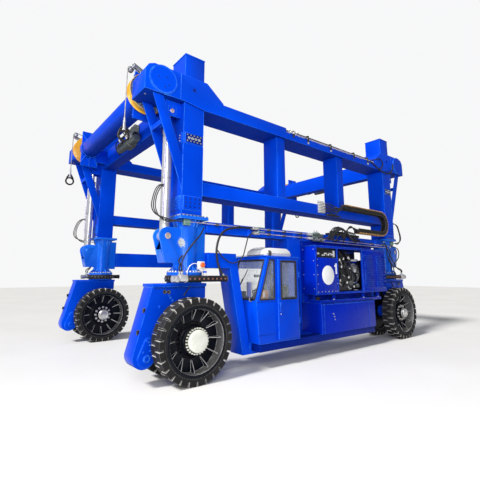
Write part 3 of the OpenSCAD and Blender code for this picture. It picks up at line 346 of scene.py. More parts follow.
shaderInputs = {"Metallic": "metal", "Coat Weight": "coat", "Coat Roughness": "coatRough",
                "Specular IOR Level": "gloss", "Sheen Weight": "sheen"}


def rgb(colour):
    return (*colour, 1) if isinstance(colour, tuple) else (colour, colour, colour, 1)


def newMaterial(name, recipe):
    # One finish: the worn surface with the recipe's colours and amounts
    recipe = {**plainFinish, **recipe}
    material = bpy.data.materials.new(name)
    material.use_nodes = True
    tree = material.node_tree
    shader = tree.nodes["Principled BSDF"]
    group = addNode(tree, "ShaderNodeGroup", node_tree=wornSurface)
    for label, key in colourInputs.items():
        group.inputs[label].default_value = rgb(recipe[key])
    for label, key in numberInputs.items():
        group.inputs[label].default_value = recipe[key]
    for label, key in shaderInputs.items():
        shader.inputs[label].default_value = recipe[key]
    shader.inputs["Specular Tint"].default_value = rgb(recipe["tint"])
    for label, target in (("Color", "Base Color"), ("Roughness", "Roughness"), ("Normal", "Normal")):
        tree.links.new(group.outputs[label], shader.inputs[target])
    if "scuff" in recipe:
        # A rubbed patch down to the primer, round one point of the piece
        v = scuffValues
        place = addNode(tree, "ShaderNodeTexCoord").outputs["Object"]
        gap = addNode(tree, "ShaderNodeVectorMath", operation="DISTANCE")
        tree.links.new(place, gap.inputs[0])
        gap.inputs[1].default_value = recipe["scuff"]
        near = addRamp(tree, gap.outputs["Value"], (v["reach"], 0.0))
        flakes = addMath(tree, "MULTIPLY", addNoise(tree, place, 19.0, 6.0, 0.7), v["noiseShare"])
        bare = addRamp(tree, addMath(tree, "ADD", flakes, near), v["span"])
        primer = addMix(tree, addRamp(tree, addNoise(tree, place, 40.0, 4.0, 0.6), (0.4, 0.6)), *v["primer"])
        tree.links.new(addMix(tree, bare, group.outputs["Color"], primer), shader.inputs["Base Color"])
    return material


glassValues = {"Base Color": (0.70, 0.78, 0.78, 1), "Coat Weight": 0.5, "Coat Roughness": 0.03,
               "Transmission Weight": 0.25, "IOR": 1.12}
smearValues = {"scale": 5.0, "span": (0.45, 0.8), "strength": 0.16, "rough": 0.02, "alpha": 0.12}


def glassMaterial():
    # Clear panes with faint smears
    v = smearValues
    material = bpy.data.materials.new("cabGlass")
    material.use_nodes = True
    tree = material.node_tree
    shader = tree.nodes["Principled BSDF"]
    for label, value in glassValues.items():
        shader.inputs[label].default_value = value
    place = addNode(tree, "ShaderNodeTexCoord").outputs["Object"]
    smear = addRamp(tree, addNoise(tree, place, v["scale"], 5.0, 0.7), v["span"])
    streak = addMath(tree, "MULTIPLY", smear, v["strength"])
    tree.links.new(addMath(tree, "ADD", streak, v["rough"]), shader.inputs["Roughness"])
    tree.links.new(addMath(tree, "ADD", streak, v["alpha"]), shader.inputs["Alpha"])
    return material


wornSurface = wornSurfaceGroup()
paints = {name: newMaterial(name, recipe) for name, recipe in finishes.items()}
paints["cabGlass"] = glassMaterial()
print("materials made")


# Modelling helpers

nearWay, leftWay, upWay = (0, -1, 0), (-1, 0, 0), (0, 0, 1)


def deselectAll():
    if bpy.context.object and bpy.context.object.mode != "OBJECT":
        bpy.ops.object.mode_set(mode="OBJECT")
    bpy.ops.object.select_all(action="DESELECT")


def activate(piece):
    deselectAll()
    piece.select_set(True)
    bpy.context.view_layer.objects.active = piece


def editAll(piece):
    activate(piece)
    bpy.ops.object.mode_set(mode="EDIT")
    bpy.ops.mesh.select_all(action="SELECT")


def settle(piece, smooth=38):
    # Applies the place, points the faces outwards and smooths the round stretches
    activate(piece)
    bpy.ops.object.transform_apply(location=True, rotation=True, scale=True)
    editAll(piece)
    bpy.ops.mesh.normals_make_consistent(inside=False)
    bpy.ops.object.mode_set(mode="OBJECT")
    bpy.ops.object.shade_smooth_by_angle(angle=math.radians(smooth))
    return piece


def roundEdges(piece, width, segments=2, angle=40, clamp=True):
    activate(piece)
    edge = piece.modifiers.new("roundedEdges", "BEVEL")
    edge.width = width
    edge.segments = segments
    edge.limit_method = "ANGLE"
    edge.angle_limit = math.radians(angle)
    edge.use_clamp_overlap = clamp
    bpy.ops.object.modifier_apply(modifier=edge.name)


def finishPiece(piece, name, paint, body):
    piece.name = name
    piece.data.name = name
    piece.data.materials.clear()
    piece.data.materials.append(paints[paint])
    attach(piece, body)
    return piece


def box(low, high, round_=0.004):
    # A block with rounded edges
    deselectAll()
    size = [abs(h - l) for l, h in zip(low, high)]
    bpy.ops.mesh.primitive_cube_add(size=1, location=[(l + h) / 2 for l, h in zip(low, high)])
    piece = bpy.context.object
    piece.scale = size
    bpy.ops.object.transform_apply(location=True, rotation=True, scale=True)
    if round_:
        roundEdges(piece, min(round_, min(size) * 0.3))
    return settle(piece)


def turned(stops, start=(0, 0, 0), direction=upWay, sides=32):
    # A turned part: a disc pushed along its axis through (radius, height) stops
    deselectAll()
    radius, height = stops[0]
    bpy.ops.mesh.primitive_circle_add(vertices=sides, radius=radius, fill_type="NGON", location=(0, 0, height))
    piece = bpy.context.object
    bpy.ops.object.transform_apply(location=True)
    editAll(piece)
    for nextRadius, nextHeight in stops[1:]:
        bpy.ops.mesh.extrude_region_move(TRANSFORM_OT_translate={"value": (0, 0, nextHeight - height)})
        if abs(nextRadius - radius) > 1e-6:
            k = nextRadius / radius
            bpy.ops.transform.resize(value=(k, k, 1), center_override=(0, 0, nextHeight))
        radius, height = nextRadius, nextHeight
    bpy.ops.object.mode_set(mode="OBJECT")
    turn = Vector(direction).to_track_quat("Z", "Y")
    piece.matrix_world = Matrix.Translation(Vector(start)) @ turn.to_matrix().to_4x4()
    return settle(piece)


def rod(start, end, radius, sides=20):
    span = Vector(end) - Vector(start)
    return turned([(radius, 0), (radius, span.length)], start, span, sides)


def prism(outline, axis, low, high, round_=0.0):
    # An outline pushed along one axis; outline is in the other two, in X, Y, Z order
    k = "xyz".index(axis)
    points = [[*pair[:k], low, *pair[k:]] for pair in outline]
    mesh = bpy.data.meshes.new("outline")
    mesh.from_pydata(points, [], [list(range(len(points)))])
    piece = bpy.data.objects.new("outline", mesh)
    bpy.context.scene.collection.objects.link(piece)
    editAll(piece)
    push = [0, 0, 0]
    push[k] = high - low
    bpy.ops.mesh.extrude_region_move(TRANSFORM_OT_translate={"value": push})
    bpy.ops.object.mode_set(mode="OBJECT")
    settle(piece)
    if round_:
        roundEdges(piece, round_)
        settle(piece)
    return piece


def hose(points, radius, sides=8, smooth=True):
    # A tube through points, on a smooth or straight path
    curve = bpy.data.curves.new("hosePath", "CURVE")
    curve.dimensions = "3D"
    curve.bevel_depth = radius
    curve.bevel_resolution = max(1, sides // 4)
    curve.use_fill_caps = True
    curve.resolution_u = 6
    spline = curve.splines.new("BEZIER" if smooth else "POLY")
    spots = spline.bezier_points if smooth else spline.points
    spots.add(len(points) - 1)
    for spot, point in zip(spots, points):
        spot.co = point if smooth else (*point, 1)
        if smooth:
            spot.handle_left_type = spot.handle_right_type = "AUTO"
    piece = bpy.data.objects.new("hosePath", curve)
    bpy.context.scene.collection.objects.link(piece)
    activate(piece)
    bpy.ops.object.convert(target="MESH")
    return settle(bpy.context.object, 60)


def bead(radius, *points):
    return hose(points, radius, 6, False)


def copyOf(piece, change=None):
    twin = piece.copy()
    twin.data = piece.data.copy()
    bpy.context.scene.collection.objects.link(twin)
    if change is not None:
        twin.data.transform(change)
        if change.determinant() < 0:
            twin.data.flip_normals()
    return twin


def joined(pieces):
    deselectAll()
    for piece in pieces:
        piece.select_set(True)
    bpy.context.view_layer.objects.active = pieces[0]
    if len(pieces) > 1:
        bpy.ops.object.join()
    return bpy.context.object


def fit(name, paint, body, *parts):
    return finishPiece(joined(parts), name, paint, body)


def scattered(model, places):
    # Copies of a model made at the origin along Z, at (point, direction) places, as one mesh
    copies = []
    for point, direction in places:
        turn = Vector(direction).to_track_quat("Z", "Y").to_matrix().to_4x4()
        copies.append(copyOf(model, Matrix.Translation(Vector(point)) @ turn))
    bpy.data.objects.remove(model)
    return joined(copies)


def bolted(model, way, points):
    return scattered(model, [(point, way) for point in points])


def hexBolt(radius, height):
    # A hexagon head on its washer, standing on Z = 0
    washer = turned([(radius * 1.35, 0), (radius * 1.35, height * 0.22)], sides=16)
    head = turned([(radius, height * 0.2), (radius, height * 0.9), (radius * 0.82, height)], sides=6)
    return joined([washer, head])


def roundBolt(radius, height):
    return turned([(radius, 0), (radius, height * 0.6), (radius * 0.7, height)], sides=14)


def ringPlaces(centre, direction, radius, count, start=0.0):
    # Places on a circle whose axis is X, Y or Z
    axis = Vector(direction)
    side = Vector((0, 0, 1)) if abs(axis.z) < 0.5 else Vector((1, 0, 0))
    across = axis.cross(side)
    turns = [start + math.tau * k / count for k in range(count)]
    return [(Vector(centre) + radius * (math.cos(a) * side + math.sin(a) * across), direction) for a in turns]


def row(start, end, count):
    a, b = Vector(start), Vector(end)
    return [a.lerp(b, k / (count - 1)) for k in range(count)]


def at(x, y, z):
    # A point given about the near left steering axis; -X and -Y lead away from the crane
    return Vector((x - layout["postX"], y - layout["sideY"], z))


def onCorners(name, paint, body, *parts, places=tuple(corners)):
    # Mirrors what is made at the near left corner to the named corners
    model = joined(parts)
    for place in places:
        sx, sy = corners[place]
        twin = copyOf(model, Matrix.Diagonal((-sx, -sy, 1, 1)))
        own = body
        if body == "drum_":  # The drum of that end
            own += place.split("_")[1]
        elif body.endswith("_"):  # The corner's own fork or wheels
            own += place
        finishPiece(twin, name + place.title().replace("_", ""), paint, own)
    bpy.data.objects.remove(model)


def onEnds(name, paint, *parts):
    # Mirrors what is made at the left end of the upper frame to the right end
    model = joined(parts)
    for end, sx in (("Left", 1), ("Right", -1)):
        finishPiece(copyOf(model, Matrix.Diagonal((sx, 1, 1, 1))), name + end, paint, "upper_frame")
    bpy.data.objects.remove(model)


dressValues = {"mergeGap": 0.00002, "flatAngle": 0.6, "edgeAngle": 38}


def dress(node, paint, width, segments=2, smooth=38):
    # Stands a merged copy with rounded edges for a CAD node, in the same place
    source = frame["nodes"][node]
    body = source["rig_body"]
    piece = copyOf(source)
    piece.parent = None
    for key in list(piece.keys()):
        del piece[key]
    editAll(piece)
    bpy.ops.mesh.remove_doubles(threshold=dressValues["mergeGap"])
    bpy.ops.mesh.dissolve_limited(angle_limit=math.radians(dressValues["flatAngle"]))
    bpy.ops.object.mode_set(mode="OBJECT")
    roundEdges(piece, width, segments, dressValues["edgeAngle"], False)
    bpy.ops.object.shade_smooth_by_angle(angle=math.radians(smooth))
    name = node.title().replace("_", "")
    finishPiece(piece, name[0].lower() + name[1:] + "Finish", paint, body)
    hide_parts(node)
    return piece


def paintNode(node, paint):
    mesh = frame["nodes"][node].data
    mesh.materials.clear()
    mesh.materials.append(paints[paint])


def keepInside(piece):
    # Flattens what stands out of the source's own box, so that nothing of the finish is wider
    low, high = cadBox
    for vertex in piece.data.vertices:
        vertex.co = [min(max(vertex.co[k], low[k]), high[k]) for k in range(3)]


def paintFaces(piece, paint, test):
    # Gives the faces that pass a test, by centre and normal, a second material
    activate(piece)
    piece.data.materials.append(paints[paint])
    index = len(piece.data.materials) - 1
    for face in piece.data.polygons:
        if test(face.center, face.normal):
            face.material_index = index


rimValues = {
    "noseOut": 0.105, "noseRadius": 0.19, "faceOut": 0.165, "faceRadius": 0.118, "ribFrom": 0.40,
    "barrelFrom": 0.46, "barrelTo": 0.512, "ribDepth": 0.08, "ribArea": 0.005, "ringInset": 0.026,
    "ringDepth": 0.014, "bossInset": 0.034, "bossHeight": 0.010, "bossOut": 0.156, "bossRadius": 0.06,
}


def hubEnd(rims, name):
    # Paints caps, noses, rib edges and barrels of a pair, and sinks a ring into each nose. The light grey on the
    # outward faces of the ribs is a painted highlight
    v = rimValues
    sx, sy = corners[name]
    cx, cz = sx * layout["postX"], layout["axleZ"]
    mesh = rims.data
    slots = {}
    for key in ("creamCap", "boltSteel", "redTint", "barrelGrey", "ribHighlightGrey"):
        mesh.materials.append(paints[key])
        slots[key] = len(mesh.materials) - 1

    def reach(face):
        return max(math.hypot(mesh.vertices[k].co.x - cx, mesh.vertices[k].co.z - cz) for k in face.vertices)

    for side in (-1, 1):
        middle = sy * layout["sideY"] + side * layout["twinHalf"]
        capped = name == "near_left" and side < 0
        for face in mesh.polygons:
            out = (face.center.y - middle) * side
            wide = reach(face)
            face.select = False
            if out > v["noseOut"] and wide < v["noseRadius"]:
                face.material_index = slots["creamCap" if capped else "boltSteel"]
                face.select = out > v["faceOut"] and abs(face.normal.y) > 0.9 and wide < v["faceRadius"]
            # Outward faces of the ribs: light grey, a painted highlight
            elif (abs(out) < v["ribDepth"] and v["ribFrom"] < wide < v["barrelTo"] and face.normal.y * side > 0.3
                  and face.area < v["ribArea"]):
                face.material_index = slots["ribHighlightGrey"]
        if capped:
            continue
        activate(rims)
        bpy.ops.object.mode_set(mode="EDIT")
        bpy.ops.mesh.select_mode(type="FACE")
        for inset, push in ((v["ringInset"], -v["ringDepth"]), (v["bossInset"], v["bossHeight"])):
            bpy.ops.mesh.inset(thickness=inset, depth=0)
            bpy.ops.mesh.extrude_region_move(TRANSFORM_OT_translate={"value": (0, side * push, 0)})
        bpy.ops.object.mode_set(mode="OBJECT")
        for face in mesh.polygons:
            if (face.center.y - middle) * side > v["bossOut"] and reach(face) < v["bossRadius"]:
                face.material_index = slots["redTint"]
    # Barrel insides: mid grey with heavy dust where they face up, partly painted light on the lower barrel
    for face in mesh.polygons:
        spoke = Vector((face.center.x - cx, 0, face.center.z - cz))
        if v["barrelFrom"] < spoke.length < v["barrelTo"] and face.normal.dot(spoke.normalized()) < -0.6:
            face.material_index = slots["barrelGrey"]


deselectAll()
setCamera()
setLights()
bpy.ops.mesh.primitive_plane_add(size=90, location=(0, 0, 0))
floor = bpy.context.object
floor.name = "paleFloor"
floor.data.materials.append(paints["floorPale"])
print("camera, lights and floor set")


# Finishes of the frame's nodes

nodePaints = {
    "bluePaint": "near_frame near_rail far_sill cab_shell cab_door columns near_beam far_beam low_beams mid_posts "
                 "cross_girders head_braces drum_brackets drum_tube_left drum_tube_right fork_near_left "
                 "fork_near_right fork_far_left fork_far_right",
    "postPaintAndHighlight": "near_posts far_posts", "packShadedBluePaint": "pack_housing pack_panel pack_louvres pack_feet fuel_tank",
    "mastPaint": "inner_masts", "silverPaint": "lift_barrels steer_motors", "blackCasting": "slew_drives",
    # The side skirt takes the deep blue as painted shade for its recessed face
    "greyPlastic": "cab_mirror", "oilyBlack": "engine", "deepBluePaint": "side_skirt", "chromeRod": "lift_rams",
    "rollerGrey": "rope_rollers", "driveGrey": "winch_drives", "chainBlack": "energy_chain",
    "forgedBlack": "rope_sockets", "seatCloth": "operator_seat", "darkPlastic": "cab_console",
    "whitePlastic": "cab_roof_unit",
}
edgeWidths = {
    "pack_louvres": 0.0015, "cab_mirror": 0.008, "cab_roof_unit": 0.02, "operator_seat": 0.03, "cab_console": 0.012,
    "energy_chain": 0.0015, "steer_motors": 0.003, "lift_rams": 0.003, "pack_panel": 0.003, "cab_door": 0.003,
}
faceValues = {  # Where a second paint starts on a node
    "webFrom": 1.99, "webRadius": 0.30, "lugFrom": 0.585, "lugSide": 0.6, "socketFrom": 4.206, "lidUp": 0.9,
}
dressed = {node: dress(node, paint, edgeWidths.get(node, 0.006))
           for paint, nodes in nodePaints.items() for node in nodes.split()}
keepInside(dressed["cab_door"])
for node in ("cab_glass", "door_glass"):
    paintNode(node, "cabGlass")
paintNode("hoist_ropes", "ropeWire")
for side in ("left", "right"):
    reels = dress("reels_" + side, "yellowPaint", 0.003)
    paintFaces(reels, "webGrey", lambda c, n: abs(c.y) > faceValues["webFrom"] and math.hypot(
        abs(c.x) - layout["drumX"], c.z - layout["drumZ"]) < faceValues["webRadius"])
for name in corners:
    tyres = dress("tyres_" + name, "tyreRubber", 0.0015, 1, 30)
    rims = dress("rims_" + name, "blackPaint", 0.003, 1, 30)
    px = corners[name][0] * layout["postX"]
    hubEnd(rims, name)
    keepInside(rims)

    def slotFace(c, n, px=px):
        out = Vector((c.x - px, 0, c.z - layout["axleZ"]))
        if out.length < faceValues["lugFrom"]:
            return False
        along = Vector((0, 1, 0)).cross(out.normalized())
        return abs(n.dot(along)) > faceValues["lugSide"]

    paintFaces(tyres, "slotDust", slotFace)
paintFaces(dressed["rope_sockets"], "silverPaint", lambda c, n: c.z > faceValues["socketFrom"])
paintFaces(dressed["inner_masts"], "deepBluePaint", lambda c, n: n.z > faceValues["lidUp"])
print("frame nodes finished:", len(dressed))


# Wheels: bolts, hubs and valve stems

hubValues = {
    "studRing": 0.180, "studCount": 12, "flangeFace": 0.030, "bandFace": 0.100, "noseFace": 0.1662,
    "screwRing": 0.100, "screwCount": 8, "capRing": 0.197, "capFace": 0.098, "capBlocks": 26,
}


def wheelDetails():
    h = hubValues
    axle = at(0, 0, layout["axleZ"])
    for side, stem in ((-1, "Outer"), (1, "Inner")):
        way = (0, side, 0)
        uncapped = ("near_right", "far_left", "far_right") if side < 0 else tuple(corners)

        def out(reach, x=0, z=0, side=side):
            return axle + Vector((x, side * (layout["twinHalf"] + reach), z))

        studs = scattered(hexBolt(0.021, 0.040), ringPlaces(out(h["flangeFace"]), way, h["studRing"], h["studCount"]))
        onCorners("hubStuds" + stem, "boltSteel", "wheels_", studs, places=uncapped)
        band = turned([(0.128, 0), (0.128, 0.010), (0.121, 0.014)], out(h["bandFace"]), way, 36)
        onCorners("noseBand" + stem, "boltSteel", "wheels_", band, places=uncapped)
        screws = scattered(roundBolt(0.009, 0.0035),
                           ringPlaces(out(h["noseFace"]), way, h["screwRing"], h["screwCount"]))
        onCorners("noseScrews" + stem, "blackCasting", "wheels_", screws, places=uncapped)
        valve = hose([out(*p) for p in ((-0.062, 0.30, 0.33), (-0.02, 0.31, 0.34), (0.03, 0.33, 0.36))], 0.006)
        onCorners("valveStem" + stem, "boltSteel", "wheels_", valve)
    # Small blocks and a black collar round the creamy cap of the near left wheel
    hub = axle - Vector((0, layout["twinHalf"], 0))
    block = box((-0.014, -0.010, 0), (0.014, 0.010, 0.026), 0.002)
    ring = ringPlaces(hub - Vector((0, h["capFace"], 0)), nearWay, h["capRing"], h["capBlocks"])
    fit("hubCapBlocks", "creamCap", "wheels_near_left", scattered(block, ring))
    fit("hubCollar", "blackCasting", "wheels_near_left",
        turned([(0.208, 0), (0.208, 0.066), (0.178, 0.069)], hub - Vector((0, h["flangeFace"], 0)), nearWay, 48))


wheelDetails()
print("wheel details made")


# Forks: cover plates, pins, bolt rows and hose clips

forkValues = {
    "cheekY": -0.17, "pin": (-0.717, 0.455), "kneeX": -0.86, "kneeZ": 0.75, "lean": 0.20 / 0.76, "topBolts": 19,
}


def forkDetails():
    v = forkValues
    y = v["cheekY"]
    px, pz = v["pin"]

    def onCheek(name, paint, model, *spots, out=0.0):
        onCorners(name, paint, "steer_", bolted(model, nearWay, [at(x, y - out, z) for x, z in spots]))

    pin = turned([(0.060, 0), (0.060, 0.004), (0.050, 0.008), (0.050, 0.016), (0.040, 0.019), (0.036, 0.014),
                  (0.010, 0.014)], at(px, y - 0.029, pz), nearWay, 28)
    onCorners("armPinEnd", "bluePaint", "steer_", pin)
    onCheek("coverBolts", "bluePaint", roundBolt(0.014, 0.0098), *(
        (px + dx, pz + dz) for dx, dz in
        ((-0.05, 0.095), (0.055, 0.105), (0.03, 0.235), (0.0, 0.255), (0.045, 0.19))), out=0.016)
    onCorners("topPlateBolts", "deepBluePaint", "steer_", bolted(
        hexBolt(0.011, 0.012), nearWay, row(at(-0.60, y, 1.487), at(0.30, y, 1.487), v["topBolts"])))
    onCheek("greaseCovers", "blackCasting",
            turned([(0.032, 0), (0.032, 0.010), (0.025, 0.012), (0.023, 0.004), (0.010, 0.004)], sides=20),
            (-0.445, 1.432), (-0.375, 1.428))
    onCheek("sideBolts", "bluePaint", hexBolt(0.014, 0.014), (-0.335, 1.335), (-0.300, 1.290), (-0.360, 1.370))
    clip = box((-0.012, -0.035, -0.040), (0.012, 0.035, 0.040), 0.004)
    clipPlaces = [at(v["kneeX"] + (z - v["kneeZ"]) * v["lean"] + 0.002, y + 0.03, z) for z in (1.16, 0.84)]
    onCorners("hoseClips", "blackCasting", "steer_", bolted(clip, leftWay, clipPlaces))
    line = hose([at(x, y - 0.012, z) for x, z in ((0.02, 1.585), (0.0, 1.50), (-0.06, 1.42), (-0.10, 1.36))], 0.010)
    onCorners("forkHose", "hoseRubber", "steer_", line)
    onCheek("plugBolts", "bluePaint", turned([(0.024, 0), (0.024, 0.012), (0.018, 0.016)], sides=16),
            (-0.52, 1.20), (-0.35, 1.14))
    onCorners("forkWeld", "bluePaint", "steer_", bead(0.006, *[at(x, y - 0.003, 1.508) for x in (-0.655, 0.335)]))


forkDetails()
print("fork details made")


# Slewing drives, posts and lift cylinders

postValues = {
    "baseRing": 0.277, "baseBolts": 28, "slewRing": 0.331, "slewBolts": 17, "drive": (-0.36, 1.637),
    "ramX": -0.41, "ramPinZ": 2.347, "bracketY": -0.142, "seatZ": 2.70,
}


def postDetails():
    v = postValues
    dy, dz = v["drive"]
    seatZ = v["seatZ"]
    base = scattered(hexBolt(0.018, 0.026), ringPlaces(at(0, 0, 1.745), upWay, v["baseRing"], v["baseBolts"], 0.06))
    onCorners("baseFlangeBolts", "boltSteel", "chassis", base)
    turns = [math.radians(10 + k * 15) for k in range(v["slewBolts"])]
    ring = scattered(hexBolt(0.013, 0.014), [
        (at(v["slewRing"] * math.cos(a), v["slewRing"] * math.sin(a), 1.640), (math.cos(a), math.sin(a), 0))
        for a in turns])
    onCorners("slewRingBolts", "blackCasting", "chassis", ring)
    # Worm housing end, motor bands, ports and hoses
    cover = turned([(0.060, 0), (0.060, 0.018), (0.050, 0.026), (0.022, 0.028), (0.020, 0.040)],
                   at(0.62, dy, dz), (1, 0, 0), 24)
    onCorners("wormEndCover", "blackCasting", "chassis", cover)
    onCorners("motorBands", "boltSteel", "chassis", *[
        turned([(r, 0), (r, t)], at(x, dy, dz), leftWay, 24) for x, r, t in
        ((-0.20, 0.049, 0.012), (-0.26, 0.049, 0.010), (-0.32, 0.056, 0.008), (-0.405, 0.056, 0.014))])
    onCorners("motorPorts", "boltSteel", "chassis", *[
        rod(at(x, dy, 1.70), at(x, dy, 1.755), 0.016, 12) for x in (-0.25, -0.29)])
    onCorners("motorHoses", "hoseRubber", "chassis", *[hose([at(*p) for p in path], 0.013) for path in (
        ((-0.25, dy, 1.75), (-0.255, -0.355, 1.80), (-0.22, -0.29, 1.86), (-0.16, -0.235, 1.98), (0.0, -0.225, 2.20),
         (0.16, -0.225, 2.38), (0.25, -0.215, 2.52)),
        ((-0.29, dy, 1.75), (-0.30, dy, 1.81), (-0.24, -0.28, 1.88), (-0.20, -0.16, 1.95), (-0.13, -0.155, 2.03)))])
    onCorners("motorBody", "silverPaint", "chassis",
              box(at(-0.30, -0.425, 1.60), at(-0.17, -0.345, 1.70), 0.008),
              box(at(-0.385, -0.43, 1.588), at(-0.33, -0.37, 1.668), 0.006))
    worm = bolted(hexBolt(0.012, 0.012), nearWay, row(at(-0.12, -0.413, dz), at(0.58, -0.413, dz), 9))
    onCorners("wormBolts", "redTint", "chassis", worm, places=("near_left", "near_right"))
    pin = turned([(0.052, 0), (0.052, 0.006), (0.042, 0.010), (0.036, 0.010), (0.034, 0.004), (0.014, 0.004),
                  (0.012, 0.008)], at(v["ramX"], v["bracketY"], v["ramPinZ"]), nearWay, 26)
    onCorners("barrelPinEnd", "pinkPin", "chassis", pin)
    # Seat flange: bolts, wear strip and the weld under the post
    seat = bolted(hexBolt(0.015, 0.018), upWay, row(at(-0.235, -0.262, seatZ), at(0.275, -0.262, seatZ), 8)
                  + row(at(-0.242, -0.20, seatZ), at(-0.242, 0.20, seatZ), 6)[1:])
    onCorners("seatBolts", "deepBluePaint", "chassis", seat)
    onCorners("wearStrip", "webGrey", "chassis",
              box(at(-0.232, -0.262, 2.702), at(0.182, -0.247, 2.724), 0.003),
              box(at(-0.247, -0.247, 2.702), at(-0.232, 0.247, 2.724), 0.003))
    onCorners("postWeld", "bluePaint", "chassis",
              turned([(0.209, 0), (0.209, 0.004), (0.200, 0.012)], at(0, 0, 1.744), upWay, 48))
    # Lift cylinder: gland, straps, feed pipe, hoses and the valve beside it
    gland = turned([(0.098, 0), (0.098, 0.022), (0.090, 0.030), (0.072, 0.034), (0.066, 0.030)],
                   at(v["ramX"], 0, 4.245), upWay, 32)
    onCorners("cylinderGland", "blackCasting", "chassis", gland)
    onCorners("cylinderStraps", "boltSteel", "chassis", *[
        turned([(0.089, 0), (0.089, 0.03)], at(v["ramX"], 0, z), upWay, 28) for z in (2.62, 3.35)])
    onCorners("cylinderPipe", "pipeSteel", "chassis", hose([at(*p) for p in (
        (-0.475, -0.065, 2.62), (-0.49, -0.08, 2.9), (-0.49, -0.08, 3.6), (-0.48, -0.07, 4.1))], 0.011))
    onCorners("cylinderHoses", "hoseRubber", "chassis", *[hose([at(*p) for p in (
        (-0.485, -0.075, 3.24 - k * 0.03), (-0.54 - k * 0.02, -0.13, 3.20), (-0.66 - k * 0.03, -0.17, 2.96),
        (-0.65 - k * 0.03, -0.19, 2.72), (-0.50, -0.20, 2.585 + k * 0.024), (-0.26, -0.215, 2.60),
        (-0.14, -0.215, 2.60))], 0.009) for k in range(3)])
    onCorners("postValve", "valveGreen", "chassis", box(at(-0.17, -0.245, 2.54), at(-0.04, -0.195, 2.635), 0.006),
              *[rod(at(x, -0.245, 2.59), at(x, -0.262, 2.59), 0.018, 12) for x in (-0.14, -0.075)])


postDetails()
print("post details made")


# Columns: pad bands, bolt clusters and caps

columnValues = {"centreX": -0.025, "bandFace": -0.26, "guideY": -0.265, "capHalfX": 0.213, "capHalfY": 0.253,
                "capTop": 5.7298, "seamX": 0.2045, "seamY": -0.2445}


def columnDetails():
    v = columnValues
    x0, y = v["centreX"], v["bandFace"]

    def cluster(name, paint, model, spots, face):
        onCorners(name, paint, "upper_frame", bolted(model, nearWay, [at(x0 + dx, face, z) for dx, z in spots]))

    cluster("padBolts", "deepBluePaint", roundBolt(0.017, 0.012),
            [(dx, z) for z in (2.86, 2.93, 3.00) for dx in (-0.135, -0.045, 0.045, 0.135)], y)
    onCorners("padRibs", "bluePaint", "upper_frame", *[
        box(at(-0.252, -0.19, z), at(-0.244, 0.19, z + 0.014), 0.003) for z in [2.825 + 0.033 * k for k in range(7)]])
    onCorners("guidePlate", "deepBluePaint", "upper_frame",
              box(at(x0 - 0.165, y - 0.006, 4.020), at(x0 + 0.165, y + 0.002, 4.180), 0.003))
    cluster("guideNuts", "boltSteel", turned([(0.015, 0), (0.015, 0.006), (0.010, 0.007), (0.008, 0.002)], sides=14),
            [(dx, z) for dx in (-0.136, -0.068, 0.0, 0.068, 0.136) for z in (4.045, 4.155)], v["guideY"])
    cluster("guideRings", "webGrey", turned([(0.027, 0), (0.027, 0.006), (0.020, 0.008), (0.017, 0.003)], sides=18),
            [(dx, 4.10) for dx in (-0.102, -0.034, 0.034, 0.102)], v["guideY"])
    onCorners("guideSideBolts", "boltSteel", "upper_frame", bolted(
        hexBolt(0.012, 0.014), leftWay, [at(-0.245, dy, z) for z in (4.05, 4.10, 4.15) for dy in (-0.14, 0.14)]))
    cap = prism([at(x0 + sx * v["capHalfX"], sy * v["capHalfY"], 0)[:2]
                 for sx, sy in ((-1, -1), (1, -1), (1, 1), (-1, 1))], "z", 5.714, v["capTop"], 0.002)
    onCorners("columnCap", "bluePaint", "upper_frame", cap)
    # Weld seams down the corners of each box
    onCorners("columnSeams", "bluePaint", "upper_frame", *[
        bead(0.004, at(x0 + sx * v["seamX"], v["seamY"], z0), at(x0 + sx * v["seamX"], v["seamY"], z1))
        for sx in (-1, 1) for z0, z1 in ((3.07, 3.98), (4.22, 4.74))])


columnDetails()
print("column details made")


# Beam heads, ear pins and seams

headValues = {"face": -2.61, "hole": (-3.341, 5.03), "seamX": -3.617, "lowEdge": 4.765}


def headDetails():
    v = headValues
    face, x, z = v["face"], -layout["drumX"], layout["drumZ"]

    def onHead(name, paint, *parts):
        onCorners(name, paint, "upper_frame", *parts)

    onHead("bearingCover", "bluePaint", turned(
        [(0.256, 0), (0.256, 0.008), (0.247, 0.012), (0.236, 0.008), (0.235, 0.010), (0.05, 0.012)],
        (x, face - 0.012, z), nearWay, 56))
    onHead("coverDimples", "deepBluePaint", bolted(roundBolt(0.012, 0.008), nearWay, [
        (x + dx, face - 0.0225, z + dz) for dx, dz in ((-0.10, 0.02), (0.10, -0.08), (0.06, 0.05), (0.03, -0.13))]))
    holeX, holeZ = v["hole"]
    # A shallow dish painted deep blue; the dark paint is painted shade standing for the hole's depth
    onHead("liftHole", "deepBluePaint", turned(
        [(0.036, 0), (0.036, 0.004), (0.030, 0.006), (0.027, 0.001)], (holeX, face, holeZ), nearWay, 24))
    onHead("headSeam", "bluePaint", bead(0.006, (v["seamX"], face, 5.262), (v["seamX"], face, 4.775)))
    onHead("headEdge", "bluePaint", bead(0.006, (-4.285, face + 0.004, v["lowEdge"]),
                                         (-3.55, face + 0.004, v["lowEdge"])))
    onHead("ramPinEnd", "pinkPin", turned(
        [(0.040, 0), (0.040, 0.006), (0.033, 0.010), (0.028, 0.010), (0.026, 0.004), (0.008, 0.004)],
        at(-0.41, -0.14, 4.575), nearWay, 24))
    onHead("earPlate", "bluePaint", prism(
        [(at(dx, 0, 0).x, dz) for dx, dz in ((-0.49, 4.51), (-0.33, 4.51), (-0.33, 4.66), (-0.49, 4.66))],
        "y", at(0, -0.138, 0).y, at(0, -0.128, 0).y, 0.003))
    onHead("headPlug", "boltSteel", bolted(hexBolt(0.014, 0.014), (0, 0, -1), [(-4.20, -2.42, 4.76)]))


